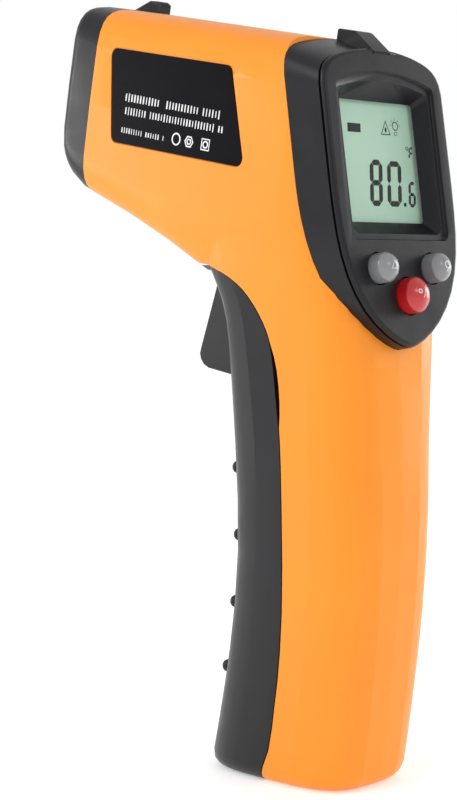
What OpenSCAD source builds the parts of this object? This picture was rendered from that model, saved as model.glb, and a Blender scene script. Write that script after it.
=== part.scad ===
// Infrared thermometer with a pistol grip, standing on the flat end of its grip.
// +X is the user's right, +Y is where the nose points and +Z is up.
// The origin is the centre of the grip's flat base. All sizes are in millimetres.

/* [Head] */
// Half width of the head across its flat sides
head_half_w = 18.8; // [18.4:0.1:19.2]
// Angle by which the nose points up while the grip stands on its base
pitch = 11; // [10.5:0.1:11.5]
// Height of the top ridge over the base centre, square to the head's axis
ridge_h = 150.4; // [150:0.1:150.8]
// Distance of the nose's face from the base centre, along the head's axis
nose_y = 82.5; // [82.2:0.1:83]
// Depth of the black nose cap
cap_depth = 9.5; // [9:0.1:10]
// Wall thickness of the mouldings
wall = 2.0; // [1.8:0.1:2.1]

/* [Display] */
// Lean of the display face, its top towards the nose
display_tilt = 8.5; // [8:0.1:9]
// Half width of the bezel's face
face_half_w = 18.6; // [18.3:0.1:18.8]
// Height of the bezel's face over the display centre
face_top = 23.0; // [22.8:0.1:23.3]
// Reach of the bezel's pointed tip under the display centre
face_tip = 36.8; // [36.5:0.1:37.2]
// Half width of the visible liquid crystal area
view_half_w = 12.2; // [12:0.1:12.4]

/* [Buttons] */
// Radius of the two grey buttons
side_button_r = 3.0; // [2.8:0.1:3.1]
// Radius of the red button
unit_button_r = 3.6; // [3.4:0.1:3.7]
// Height of each button over the bezel's face
button_rise = 4.2; // [3.8:0.1:4.4]
// Travel of each button
button_travel = 0.8; // [0.6:0.1:0.8]

/* [Grip] */
// Gap between the battery door and the shells
door_gap = 0.3; // [0.3:0.05:0.4]
// Height of the hinge pin of the battery door
hinge_z = 4.4; // [4.2:0.1:4.6]
// Distance of the hinge pin in front of the base centre
hinge_y = 14.8; // [14.6:0.1:15]
// Radius of the hinge pin
hinge_pin_r = 1.0; // [0.9:0.05:1.1]

/* [Trigger] */
// Half width of the trigger
trigger_half_w = 4.2; // [4:0.1:4.3]
// Place of the trigger pin, forward
trigger_y = 15.5; // [15.3:0.1:15.7]
// Place of the trigger pin, up
trigger_z = 110.5; // [110.3:0.1:110.7]
// Radius of the trigger pin
trigger_pin_r = 1.25; // [1.2:0.05:1.3]

/* [Batteries] */
// Radius of a cell
cell_r = 5.2; // [5.1:0.05:5.25]
// Length of a cell without its nub
cell_len = 43.5; // [43:0.1:43.7]

/* [Hidden] */
$fn = 48;

ring_n = 32;            // points round a section of the housing
eps = 0.01;
over = 60;              // reach of a cutting block past the part
running = 0.07;         // radial clearance of a pin in its hole
base_round = 3.5;       // rounding of the grip's lower edge
shell_orange = "#FF9A33";
moulding_black = "#3A3B3E";

// Sections of the grip: height, half width, front, back, squareness
GRIP = [
    [0, 14.0, 21.0, -19.0, 3.4],
    [8, 14.2, 19.0, -20.4, 3.4],
    [16, 14.4, 17.1, -21.5, 3.4],
    [26, 14.6, 15.0, -22.8, 3.4],
    [36, 14.8, 13.4, -23.8, 3.4],
    [46, 15.0, 12.4, -24.5, 3.4],
    [58, 15.3, 12.2, -24.8, 3.4],
    [70, 15.7, 12.6, -24.6, 3.4],
    [80, 16.1, 12.6, -24.2, 3.7],
    [88, 16.6, 12.5, -23.8, 4.0],
    [94, 17.2, 12.5, -23.4, 4.2],
    [98, 17.7, 13.0, -23.0, 4.3],
    [102, 18.1, 14.3, -22.5, 4.5],
    [106, 18.35, 16.0, -22.0, 4.8],
    [112, 18.4, 18.0, -21.0, 5.2],
    [126, 18.4, 18.0, -19.0, 5.6]
];

// Rear edge of the battery door on the grip's sides: height, place along Y
DOOR_EDGE = [
    [-6, 3.4], [0, 1.8], [7, -1.4], [17, -3.4], [26, -4.8], [39, -5.8], [57, -6.0],
    [71, -5.9], [80, -5.2], [88, -4.6], [92, -3.8], [96, -1.9], [99.7, 0.8], [102.5, 4.0],
    [104.8, 8.6], [106.4, 15.0], [107.6, 24.0]
];

head_rear = 2;                       // the head's rear end, inside the bezel
cap_y = nose_y - cap_depth;          // joint between the shells and the nose cap
ir_z = 129.5;                        // height of the infrared axis in the head
ir_r = 10.5;                         // mouth radius of the funnel
laser_z = 144.8;                     // height of the laser axis in the head
laser_r = 3.2;                       // radius of the laser module
bracket_y = 57;                      // rear face of the optics bracket
face_y = -22.1;                      // display centre
face_z = 126.3;
step_depth = 1.0;                    // thickness of the bezel's raised face
groove_h = 0.6;                      // width and depth of the groove under it
step_out = 1.2;                      // how far the band stands out from the face's edge
band_depth = 9.5;                    // depth of the bezel's side band
window_n = -3.8;                     // front of the display window, behind the face
lcd_n = -4.8;                        // front of the glass
board_n = -9.6;                      // front of the main board
board_t = 1.6;
side_button_at = [8.3, -21.1];
unit_button_at = [0, -26.6];
button_gap = 0.3;
BOARD_SCREWS = [[12.5, 18.7], [-12.5, 18.7], [12.7, -17.1], [-12.7, -17.1]];
cell_x = 5.6;
cell_y = 3.5;
cell_z = 23.0;
tray_z = 18.6;                       // underside of the battery tray
tray_top = 72.0;
slot_half_w = trigger_half_w + 0.7;
door_top = 106.2;                    // upper end of the battery door
slot_z = 80.6;                       // lower end of the trigger's slot in the door
arm_y = 5.2;                         // axis of the trigger's spring
arm_z = 113.3;                       // top of the trigger's spring arm
spring_top = 121.0;
plunger_z = 99.5;
plunger_y = 8.4;                     // tip of the trigger switch's plunger
grip_ribs = [64.1, 49.9, 35.6, 21.5];

// Screws of the housing: seat of the head along X, then Y and Z
SHELL_SCREWS = [
    [10.6, -13.0, 24.0],
    [11.6, -14.0, 77.0],
    [14.4, head_to_y(66, 114.4), head_to_z(66, 114.4)],
    [14.4, head_to_y(31, 143), head_to_z(31, 143)]
];
screw_tip = -6;

function head_to_y(y, z) = y * cos(pitch) - z * sin(pitch);
function head_to_z(y, z) = y * sin(pitch) + z * cos(pitch);
function face_to_y(v, n) = face_y + v * sin(display_tilt) - n * cos(display_tilt);
function face_to_z(v, n) = face_z + v * cos(display_tilt) + n * sin(display_tilt);
function sgn_pow(x, p) = sign(x) * pow(abs(x), p);

// Smooth value of one column of a table of sections
function span(table, s, i = 0) =
    (i >= len(table) - 2 || s < table[i + 1][0]) ? i : span(table, s, i + 1);
function slope(table, i, c) =
    let (lo = max(i - 1, 0), hi = min(i + 1, len(table) - 1))
    (table[hi][c] - table[lo][c]) / (table[hi][0] - table[lo][0]);
function blend(a, b, ma, mb, t) =
    a + t * (ma + t * (3 * (b - a) - 2 * ma - mb + t * (2 * (a - b) + ma + mb)));
function at(table, s, c) =
    let (i = span(table, s), h = table[i + 1][0] - table[i][0])
    blend(table[i][c], table[i + 1][c], slope(table, i, c) * h, slope(table, i + 1, c) * h,
          min(max((s - table[i][0]) / h, 0), 1));

// Superellipse ring as pairs, with its own exponent for each direction
function oval(a, b, ea, eb, count = ring_n) =
    [for (i = [0:count - 1])
        let (t = 360 * i / count)
        [a * sgn_pow(cos(t), 2 / ea), b * sgn_pow(sin(t), 2 / eb)]];

// Rounding of an end: how far a section is drawn in at distance d from the end
function round_in(d, r) = d >= r ? 0 : r - sqrt(max(r * r - pow(r - d, 2), 0));

// Closed solid through a list of rings of equal length
module loft(rings) {
    n = len(rings[0]);
    m = len(rings);
    points = [for (r = rings) for (p = r) p];
    sides = [for (j = [0:m - 2]) for (i = [0:n - 1])
        let (a = j * n + i, b = j * n + (i + 1) % n)
        each [[a, a + n, b + n], [a, b + n, b]]];
    polyhedron(
        points = points,
        faces = concat(sides, [[for (i = [0:n - 1]) i]], [[for (i = [n - 1:-1:0]) (m - 1) * n + i]])
    );
}

// Round bar of radius r swept along a list of points
function unit(v) = v / norm(v);
function bar_ring(path, i, r, sides) =
    let (
        lo = path[max(i - 1, 0)],
        hi = path[min(i + 1, len(path) - 1)],
        d = unit(hi - lo),
        u = unit(cross(d, abs(d[0]) > 0.9 ? [0, 0, 1] : [1, 0, 0])),
        w = cross(d, u)
    )
    [for (k = [0:sides - 1])
        path[i] + r * (cos(360 * k / sides) * u + sin(360 * k / sides) * w)];
module bar(path, r, sides = 8) {
    loft([for (i = [0:len(path) - 1]) bar_ring(path, i, r, sides)]);
}

// Smooth route through a few points
function route(knots, steps = 4) =
    [for (i = [0:len(knots) - 2]) for (k = [0:steps - 1])
        let (
            t = k / steps,
            a = knots[i],
            b = knots[i + 1],
            ma = (b - knots[max(i - 1, 0)]) / 2,
            mb = (knots[min(i + 2, len(knots) - 1)] - a) / 2
        )
        blend(a, b, ma, mb, t),
     knots[len(knots) - 1]];

module in_head() {
    rotate([pitch, 0, 0]) children();
}

module on_face() {
    translate([0, face_y, face_z]) rotate([90 - display_tilt, 0, 0]) children();
}

// Turned part whose axis runs along the head, from a profile of [radius, distance]
module turned(profile) {
    translate([0, 0, ir_z]) rotate([-90, 0, 0]) rotate_extrude() polygon(profile);
}

// ---- outer form of the housing, drawn in by inset ----

function grip_ring(z, inset, draw) =
    let (
        a = at(GRIP, z, 1) - inset - draw,
        front = at(GRIP, z, 2) - inset - draw,
        back = at(GRIP, z, 3) + inset + draw,
        e = at(GRIP, z, 4)
    )
    [for (p = oval(a, (front - back) / 2, e, e)) [p[0], p[1] + (front + back) / 2, z]];

module grip_form(inset) {
    low = [0, 0.25, 0.9, 2.0, 3.5];
    high = [8, 16, 26, 36, 47, 58, 70, 79, 86, 91, 95, 99, 102, 105, 108, 112, 117,
            121, 125];
    loft([for (z = concat(low, high))
        let (h = z < base_round ? z + inset * (1 - z / base_round) : z)
        grip_ring(h, inset, round_in(z, base_round - inset))]);
}

// Underside of the head along its axis, then the nose's rounded lower corner
function belly(y) =
    let (d = cap_y - y, low = 109.6 - 0.19 * d - 0.0022 * d * d)
    (y < 36 ? 101 + (36 - y) * 0.17 : low) + pow(max(y - 71, 0) / 11.5, 3) * 6;
function head_width(y, inset) =
    let (d = (y - head_rear) / 16)
    (d < 1 ? head_half_w - 2.5 * pow(1 - d, 3) : head_half_w) - inset;

function head_ring(y, inset) =
    let (
        draw = round_in(nose_y - y, 3.2),
        w = head_width(y, inset) - draw,
        top = ridge_h - inset - draw * 0.8,
        low = belly(y) + inset + draw * 0.5
    )
    [for (p = oval(w, (top - low) / 2, 6, 6)) [-p[0], y, p[1] + (top + low) / 2]];

module head_form(inset, front = nose_y) {
    body_y = [head_rear, 5, 9, 15, 25, 36, 47, 60, 71, 75, 78];
    nose = [for (d = [3.2, 2.0, 0.9, 0.25, 0]) nose_y - d];
    rows = [for (y = concat(body_y, nose)) if (y < front - 0.05) y];
    in_head() loft([for (y = concat(rows, [front])) head_ring(y, inset)]);
}

module outer_form() {
    grip_form(0);
    head_form(0);
}

module inner_form() {
    grip_form(wall);
    head_form(wall, nose_y - wall);
}

// Depth of the notch in the shells' edge, where a nail pulls the door open
function nail_notch(z) = 0.9 * max(1 - pow((z - 82) / 8.5, 2), 0);

// Everything in front of the door's rear edge, moved by shift along Y
module door_zone(shift, notch = 0) {
    heights = [-6, -3, 0, 3, 7, 12, 17, 22, 28, 36, 46, 57, 66, 71, 73.5, 76, 79, 82, 85, 88,
               90.5, 92.5, 94.5, 96.5, 98.2, 99.8, 101.2, 102.5, 103.7, 104.8, 105.7, 106.4,
               107.1];
    rotate([90, 0, 90])
        linear_extrude(over, center = true)
            polygon(concat(
                [for (z = heights) [at(DOOR_EDGE, z, 1) + shift - notch * nail_notch(z), z]],
                [[over, 107.1], [over, -6]]
            ));
}

// ---- bezel outline on the display face ----

// Shield outline: a low arch with round corners above, a pointed bow below
function shield_points(w, top, tip, arch = 0.16) =
    concat(
        [for (i = [0:23]) let (x = cos(180 * i / 24))
            [w * x, top * pow(1 - pow(x, 10), 0.1) * (1 - arch * x * x)]],
        [for (i = [0:23]) let (t = 180 * i / 24)
            [-w * sign(cos(t)) * pow(max(1 - pow(sin(t), 3.6), 0), 1 / 1.4), -tip * sin(t)]]
    );

module shield_slice(n, grow, flare = 0) {
    translate([0, 0, n])
        linear_extrude(eps)
            polygon(shield_points(
                face_half_w + grow + flare * 0.07,
                face_top + grow + flare * 0.47,
                face_tip + grow + flare * 0.02,
                0.16 - flare * 0.0055
            ));
}

// Depth of the bezel's band at height v on the display face
function band_n(v) = -max(band_depth - 5.6 * pow(max(-3 - v, 0) / 36, 1.8), 3.6);

module band_zone(clear = 0) {
    rotate([0, -90, 0])
        linear_extrude(over, center = true)
            polygon(concat(
                [for (v = [-46:3:38]) [band_n(v) - clear, v]],
                [[over, 38], [over, -46]]
            ));
}

module band_block(grow, start = step_depth) {
    hull() {
        shield_slice(-start, grow);
        shield_slice(-14, grow, 14 - step_depth);
    }
}

// Room that the bezel takes out of the shells
module band_pocket() {
    clear = 0.05;
    intersection() {
        band_zone(clear);
        union() {
            band_block(clear);
            hull() {
                shield_slice(-step_depth - eps, clear);
                shield_slice(25, clear);
            }
            translate([-over / 2, -2, -20]) cube([over, over, 40]);
        }
    }
}

// ---- shells ----

module screw_boss(side, place) {
    reach = place[0] + 2.5;
    translate([side > 0 ? 0 : -reach, place[1], place[2]]) rotate([0, 90, 0])
        cylinder(r = side > 0 ? 2.9 : 2.6, h = reach, $fn = 24);
}

module screw_hole(side, place) {
    translate([0, place[1], place[2]]) rotate([0, 90, 0]) {
        translate([0, 0, screw_tip - 0.5]) cylinder(r = 1.12, h = over, $fn = 16);
        if (side > 0)
            translate([0, 0, place[0]]) cylinder(r = 2.5, h = over, $fn = 24);
    }
}

// Bearing of the trigger pin, standing on the floor of the head
module pin_bearing(side) {
    hull() {
        translate([side * 6.9, trigger_y, trigger_z]) rotate([0, 90, 0])
            cylinder(r = 3.0, h = 3.2, center = true);
        translate([side * 6.9, trigger_y, trigger_z - 4.5])
            cube([3.2, 8, 2], center = true);
    }
}

// Shelf over the trigger spring
module spring_shelf(side) {
    translate([side > 0 ? 0 : -head_half_w + 0.9, arm_y - 3, spring_top])
        cube([head_half_w - 0.9, 6, 1.6]);
}

// Stiffening rib round the inside of one shell
module stiffener(side, z) {
    back = at(GRIP, z, 3);
    a = at(GRIP, z, 1);
    hull() {
        translate([side * 1.2, back + 1.6, z]) cylinder(r = 0.9, h = 1.2, $fn = 12);
        translate([side * a * 0.55, back + 2.6, z]) cylinder(r = 0.9, h = 1.2, $fn = 12);
    }
}

// Tongue of the base that carries the door's hinge pin
module hinge_tongue() {
    difference() {
        hull() {
            translate([0, hinge_y, hinge_z]) rotate([0, 90, 0])
                cylinder(r = 2.6, h = 7, center = true);
            translate([-3.5, hinge_y - 4, 0]) cube([7, 4, 2]);
            translate([-3.5, -4, 0]) cube([7, 2, 4.4]);
        }
        translate([0, hinge_y, hinge_z]) rotate([0, 90, 0])
            cylinder(r = hinge_pin_r, h = over, center = true);
    }
}

module label_outline(grow = 0) {
    corners = [[66.2, 140.4], [63.3, 124.2], [27.6, 124.6], [33.6, 140.7]];
    hull()
        for (c = corners)
            translate(c) circle(r = 1.7 + grow, $fn = 32);
}

module caution_outline(grow = 0) {
    hull()
        for (y = [38, 56], z = [120, 134])
            translate([y, z]) circle(r = 1.4 + grow, $fn = 32);
}

module label_pocket(side) {
    in_head()
        translate([side * (head_half_w - 0.35), 0, 0]) rotate([90, 0, 90])
            translate([0, 0, side > 0 ? 0 : -5]) linear_extrude(5) children();
}

module half_space(side) {
    translate([side > 0 ? 0 : -over, -over, -over]) cube([over, 4 * over, 5 * over]);
}

module shell(side) {
    difference() {
        union() {
            difference() {
                intersection() {
                    union() outer_form();
                    half_space(side);
                }
                inner_form();
            }
            for (place = SHELL_SCREWS)
                screw_boss(side, place);
            pin_bearing(side);
            spring_shelf(side);
            for (z = [12:9:66])
                stiffener(side, z);
        }
        difference() {
            door_zone(-door_gap / 2, 1);
            translate([-over / 2, -over, 107]) cube(over * 3);
        }
        in_head()
            translate([-over, cap_y, 0]) cube([2 * over, over, 3 * over]);
        on_face() band_pocket();
        for (place = SHELL_SCREWS)
            screw_hole(side, place);
        translate([-slot_half_w, 4, 95]) cube([2 * slot_half_w, 18.4, 18]);
        translate([0, trigger_y, trigger_z]) rotate([0, 90, 0])
            cylinder(r = trigger_pin_r, h = 17, center = true);
    }
    intersection() {
        hinge_tongue();
        half_space(side);
    }
}

module left_shell() {
    color(shell_orange)
        difference() {
            shell(-1);
            label_pocket(-1) label_outline(0.2);
        }
}

module right_shell() {
    color(shell_orange)
        difference() {
            shell(1);
            label_pocket(1) caution_outline(0.2);
        }
}

module front_cap() {
    color(moulding_black) {
        difference() {
            head_form(0);
            in_head() {
                translate([-over, -over, 0]) cube([2 * over, over + cap_y + 0.02, 3 * over]);
                translate([0, 0, ir_z]) rotate([-90, 0, 0]) cylinder(r = ir_r + 1.6, h = 2 * over);
                translate([0, 0, laser_z]) rotate([-90, 0, 0]) cylinder(r = 2.0, h = 2 * over);
            }
            head_form(wall, nose_y - wall);
        }
        in_head() {
            for (side = [-1, 1], z = [121, 127, 133, 139])
                hull()
                    for (y = [cap_y + 0.7, nose_y - wall - 0.4])
                        translate([side * (head_half_w - wall), y, z]) cube(1.2, center = true);
            front_sight();
        }
    }
}

// Blade of the front sight: a ramp up from the nose, square at its rear
module front_sight() {
    rotate([90, 0, 90])
        linear_extrude(3.2, center = true)
            polygon([[cap_y + 0.1, ridge_h - 1], [cap_y + 0.1, 152.3], [74.2, 152.9],
                     [76.4, 152.8], [81, ridge_h], [81, ridge_h - 1]]);
}

// Rear sight on top of the bezel, sloping down to the display
module rear_sight() {
    in_head()
        hull() {
            translate([-2.6, 15.0, 146]) cube([5.2, 4.8, 6.4]);
            translate([-2.2, 15.4, 152]) cube([4.4, 4.2, 0.6]);
            translate([-2.6, 9.6, 146]) cube([5.2, 2, 3.2]);
        }
}

module well_slice(n, half_w, low, top) {
    round_r = 1.6;
    translate([0, 0, n])
        linear_extrude(eps)
            offset(r = round_r, $fn = 20) offset(delta = -round_r)
                intersection() {
                    translate([-half_w, low]) square([2 * half_w, top - low + 4]);
                    translate([0, top - 46]) circle(r = 46, $fn = 120);
                }
}

// Stepped well that leads down to the glass
module display_well() {
    hull() {
        well_slice(0.1, 15.2, -15.5, 18.4);
        well_slice(-0.7, 14.9, -15.2, 18.1);
    }
    hull() {
        well_slice(-0.6, 13.9, -14.2, 16.6);
        translate([0, 0.9, window_n - 0.1]) linear_extrude(eps)
            offset(r = 0.8, $fn = 16) square([2 * view_half_w - 1.6, 24.2 - 1.6], center = true);
    }
}

module button_at(place) {
    translate([place[0], place[1], 0]) children();
}

module display_bezel() {
    color(moulding_black) {
        on_face()
            difference() {
                union() {
                    intersection() {
                        band_block(0, step_depth + groove_h);
                        band_zone();
                    }
                    hull() {
                        shield_slice(-step_depth - groove_h - 0.1, -groove_h);
                        shield_slice(-step_depth + 0.1, -groove_h);
                    }
                    hull() {
                        shield_slice(-step_depth, 0);
                        for (k = [0:3])
                            shield_slice(-0.9 + 0.9 * sin(28 * k), -0.9 + 0.9 * cos(28 * k));
                    }
                }
                difference() {
                    hull() {
                        shield_slice(-2.2, -wall + step_out);
                        shield_slice(-14, -wall, 14 - step_depth);
                    }
                    translate([-15.8, -16.6, window_n]) cube([31.6, 35.6, 10]);
                    for (p = BOARD_SCREWS)
                        translate([p[0], p[1], board_n]) cylinder(r = 1.6, h = 10, $fn = 24);
                }
                display_well();
                for (p = [side_button_at, [-side_button_at[0], side_button_at[1]]])
                    button_at(p) translate([0, 0, -6]) cylinder(r = side_button_r + button_gap, h = 8);
                button_at(unit_button_at) translate([0, 0, -6])
                    cylinder(r = unit_button_r + button_gap, h = 8);
                for (p = BOARD_SCREWS)
                    translate([p[0], p[1], board_n - 1]) cylinder(r = 0.86, h = 6, $fn = 24);
            }
        difference() {
            rear_sight();
            on_face() hull() {
                shield_slice(-2.2, -wall + step_out);
                shield_slice(-14, -wall, 14 - step_depth);
            }
        }
    }
}

// ---- battery door ----

// Sideways rib on the outside of the door, under a finger
module finger_rib(z) {
    front = at(GRIP, z, 2);
    a = at(GRIP, z, 1);
    hull()
        for (x = [-1, 1])
            translate([x * a * 0.6, front - 0.9, z]) sphere(r = 1.4, $fn = 12);
}

// Stiffening rib inside the door
module door_stiffener(z) {
    front = at(GRIP, z, 2);
    a = at(GRIP, z, 1);
    hull()
        for (x = [-1, 1])
            translate([x * a * 0.5, front - wall - 0.4, z]) cylinder(r = 0.8, h = 1.4, $fn = 12);
}

// Ear that turns on the hinge pin
module door_ear(side) {
    hull() {
        translate([side * 4.9, hinge_y, hinge_z]) rotate([0, 90, 0])
            cylinder(r = 2.5, h = 2, center = true);
        translate([side * 4.9, hinge_y, 1]) cube([2, 4.4, 2], center = true);
    }
}

module battery_door() {
    color(moulding_black)
        difference() {
            union() {
                difference() {
                    intersection() {
                        union() outer_form();
                        door_zone(door_gap / 2);
                    }
                    inner_form();
                    translate([-over, -over, door_top]) cube(over * 3);
                }
                for (z = grip_ribs)
                    finger_rib(z);
                for (z = grip_ribs)
                    door_stiffener(z - 5);
                for (side = [-1, 1])
                    door_ear(side);
            }
            translate([-slot_half_w, -over / 2, slot_z]) cube([2 * slot_half_w, 2 * over, over]);
            translate([-3.8, -over, -1]) cube([7.6, over + hinge_y + 3.2, 9]);
            translate([0, hinge_y, hinge_z]) rotate([0, 90, 0])
                cylinder(r = hinge_pin_r + running, h = 2 * 6.4, center = true);
        }
}

module door_pin() {
    color("silver")
        translate([0, hinge_y, hinge_z]) rotate([0, 90, 0])
            cylinder(r = hinge_pin_r, h = 11.6, center = true);
}

// ---- labels ----

module label_plate(side) {
    in_head()
        translate([side * (head_half_w - 0.35) - (side > 0 ? 0 : 0.3), 0, 0]) rotate([90, 0, 90])
            linear_extrude(0.3) children();
}

module side_label() {
    color("#26252A") label_plate(-1) label_outline();
}

module caution_label() {
    color("gold") label_plate(1) caution_outline();
}

// ---- display and its board ----

module plate(half_w, low, high, front, thick) {
    translate([-half_w, low, front - thick]) cube([2 * half_w, high - low, thick]);
}

module display_window() {
    color("lightgrey", 0.4) on_face() plate(14.6, -15.4, 16.7, window_n - 0.02, 0.9);
}

module lcd_glass() {
    color("#B9DDC0") on_face() plate(13.2, -12.6, 14.6, lcd_n, 2.2);
}

module lcd_frame() {
    color("white")
        on_face()
            difference() {
                plate(14.4, -14.2, 16.2, lcd_n, lcd_n - board_n);
                plate(13.25, -12.65, 14.65, 0, 12);
            }
}

module backlight_plate() {
    color("honeydew") on_face() plate(12.9, -9.8, 14.4, lcd_n - 2.3, 2.0);
}

module zebra_strip() {
    color("dimgray") on_face() plate(12.2, -12.4, -10.0, lcd_n - 2.2, lcd_n - 2.2 - board_n);
}

module main_board() {
    color("darkgreen")
        on_face()
            difference() {
                translate([0, 0, board_n - board_t])
                    linear_extrude(board_t)
                        polygon(shield_points(face_half_w - 3.1, face_top - 2.4, face_tip - 5.8));
                for (p = BOARD_SCREWS)
                    translate([p[0], p[1], board_n - 3]) cylinder(r = 1.1, h = 6);
            }
}

module board_screws() {
    color("silver")
        on_face()
            for (p = BOARD_SCREWS)
                translate([p[0], p[1], board_n - board_t - 1.2])
                    difference() {
                        union() {
                            cylinder(r = 1.8, h = 1.2);
                            cylinder(r = 0.8, h = 6.4);
                        }
                        for (turn = [0, 90])
                            rotate(turn) translate([-1.2, -0.2, -0.1]) cube([2.4, 0.4, 0.7]);
                    }
}

BUTTONS_AT = [
    [-side_button_at[0], side_button_at[1]],
    side_button_at,
    unit_button_at
];
switch_h = 3.2;
button_foot = -4.6;

module button_switches() {
    color("#222222")
        on_face()
            for (p = BUTTONS_AT)
                translate([p[0] - 3, p[1] - 3, board_n]) cube([6, 6, switch_h]);
}

// Plunger of a tact switch, pushed by its button
module switch_stem(place) {
    color("white")
        on_face() button_at(place)
            translate([0, 0, board_n + switch_h + button_travel + 0.05])
                cylinder(r = 1.6, h = button_foot - board_n - switch_h - button_travel - 0.05);
}

// Domed button with a flange that keeps it behind the bezel
module push_button(place, r) {
    dome = 2.0;
    ball = (r * r + dome * dome) / (2 * dome);
    on_face() button_at(place)
        rotate_extrude()
            polygon(concat(
                [[0, button_foot], [r + 0.9, button_foot], [r + 0.9, -3.3], [r, -3.3],
                 [r, button_rise - dome]],
                [for (k = [1:6]) let (x = r * (1 - k / 6))
                    [x, button_rise - ball + sqrt(ball * ball - x * x)]]
            ));
}

module laser_button() {
    color("#8B8C8E") push_button(BUTTONS_AT[0], side_button_r);
}

module backlight_button() {
    color("#8B8C8E") push_button(BUTTONS_AT[1], side_button_r);
}

module unit_button() {
    color("#D8272C") push_button(BUTTONS_AT[2], unit_button_r);
}

module laser_plunger() { switch_stem(BUTTONS_AT[0]); }
module backlight_plunger() { switch_stem(BUTTONS_AT[1]); }
module unit_plunger() { switch_stem(BUTTONS_AT[2]); }

// ---- trigger ----

module across(half_w) {
    rotate([90, 0, 90]) linear_extrude(2 * half_w, center = true) children();
}

module trigger() {
    color("#3F4044")
        difference() {
            union() {
                across(trigger_half_w)
                    polygon([[trigger_y + 3.2, trigger_z], [20.9, 107.0], [23.2, 100.8],
                             [27.6, 88.6], [28.0, 87.3], [27.7, 86.0], [26.8, 84.9],
                             [25.4, 84.2], [14.5, 82.3], [12.2, 84.5], [9.4, 96.0],
                             [9.0, 102.0], [12.2, trigger_z]]);
                translate([0, trigger_y, trigger_z]) rotate([0, 90, 0])
                    cylinder(r = 3.2, h = 2 * trigger_half_w, center = true);
                across(2.6)
                    polygon([[trigger_y, arm_z], [arm_y - 2.6, arm_z], [arm_y - 2.6, arm_z - 2],
                             [trigger_y - 2, trigger_z - 2.6]]);
            }
            translate([0, trigger_y, trigger_z]) rotate([0, 90, 0])
                cylinder(r = trigger_pin_r + running, h = over, center = true);
        }
}

module trigger_pin() {
    color("silver")
        translate([0, trigger_y, trigger_z]) rotate([0, 90, 0])
            cylinder(r = trigger_pin_r, h = 16.8, center = true);
}

// Coil of wire as a helix with closed flat turns at both ends
module coil(r_low, r_high, height, wire, turns, side_count = 6, steps = 14) {
    count = turns * steps;
    bar([for (i = [0:count])
            let (t = i / count, r = r_low + (r_high - r_low) * t)
            [r * cos(360 * turns * t), r * sin(360 * turns * t), wire + (height - 2 * wire) * t]],
        wire, side_count);
}

module trigger_spring() {
    color("silver")
        translate([0, arm_y, arm_z]) coil(2.0, 2.0, spring_top - arm_z, 0.3, 5);
}

module trigger_board() {
    color("darkgreen") translate([-7, -3.0, 89]) cube([14, 1.6, 17]);
}

module trigger_switch() {
    color("#222222")
        difference() {
            translate([-3, -1.4, plunger_z - 4]) cube([6, 5.4, 8]);
            translate([0, 0, plunger_z]) rotate([-90, 0, 0]) cylinder(r = 1.3, h = 10);
        }
}

module trigger_plunger() {
    color("ivory")
        translate([0, 2.4, plunger_z]) rotate([-90, 0, 0]) cylinder(r = 1.2, h = plunger_y - 2.4);
}

// ---- optics and laser ----

module optics_bracket() {
    color("#2B2B2E")
        in_head()
            difference() {
                translate([0, bracket_y, 129]) rotate([-90, 0, 0])
                    linear_extrude(2)
                        hull()
                            for (x = [-1, 1], z = [-13, 14.5])
                                translate([x * 12.5, z]) circle(r = 3, $fn = 32);
                translate([0, 0, ir_z]) rotate([-90, 0, 0]) cylinder(r = 6.0, h = 2 * over);
                translate([0, 0, laser_z]) rotate([-90, 0, 0]) cylinder(r = laser_r, h = 2 * over);
            }
}

module lens_funnel() {
    color("#1F1F22")
        in_head()
            turned([
                [ir_r + 1.5, nose_y - 0.5], [ir_r + 1.5, nose_y - 3], [7.6, bracket_y + 6],
                [7.6, bracket_y + 2.1], [5.95, bracket_y + 2.1], [5.95, bracket_y - 9],
                [4.75, bracket_y - 9], [4.75, bracket_y + 5], [5.6, bracket_y + 5],
                [5.6, bracket_y + 7], [5.0, bracket_y + 7.4], [ir_r, nose_y - 0.5]
            ]);
}

module ir_lens() {
    color("#5B5560")
        in_head() translate([0, bracket_y + 5.05, ir_z]) rotate([-90, 0, 0])
            cylinder(r = 5.5, h = 1.9);
}

module thermopile() {
    color("silver")
        in_head() translate([0, bracket_y - 8.2, ir_z]) rotate([-90, 0, 0]) {
            difference() {
                union() {
                    cylinder(r = 4.65, h = 0.6);
                    cylinder(r = 4.1, h = 4.2);
                }
                translate([0, 0, 3.9]) cylinder(r = 1.3, h = 1);
            }
            for (x = [-1, 1], z = [-1, 1])
                translate([1.8 * x, 1.8 * z, -3.6]) cylinder(r = 0.25, h = 3.7);
        }
}

module sensor_board() {
    color("darkgreen")
        in_head()
            difference() {
                translate([-9, bracket_y - 10.8, ir_z - 9]) cube([18, 1.6, 18]);
                for (x = [-1, 1], z = [-1, 1])
                    translate([1.8 * x, 0, ir_z + 1.8 * z]) rotate([-90, 0, 0])
                        cylinder(r = 0.3, h = over);
            }
}

module laser_module() {
    color("goldenrod")
        in_head() translate([0, bracket_y - 4, laser_z]) rotate([-90, 0, 0])
            difference() {
                cylinder(r = laser_r - 0.02, h = nose_y - wall - bracket_y + 3.6);
                translate([0, 0, nose_y - wall - bracket_y + 1.6]) cylinder(r = 1.6, h = 4);
            }
}

// ---- batteries ----

module battery_tray() {
    half = cell_x + cell_r + 0.3;
    side_wall = 0.5;
    color("#2B2B2E")
        difference() {
            translate([-half - side_wall, -3.4, tray_z])
                cube([2 * (half + side_wall), 8.6, tray_top - tray_z]);
            translate([-half, -2.0, tray_z + 1.4])
                cube([2 * half, over, tray_top - tray_z - 2.8]);
        }
}

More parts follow.
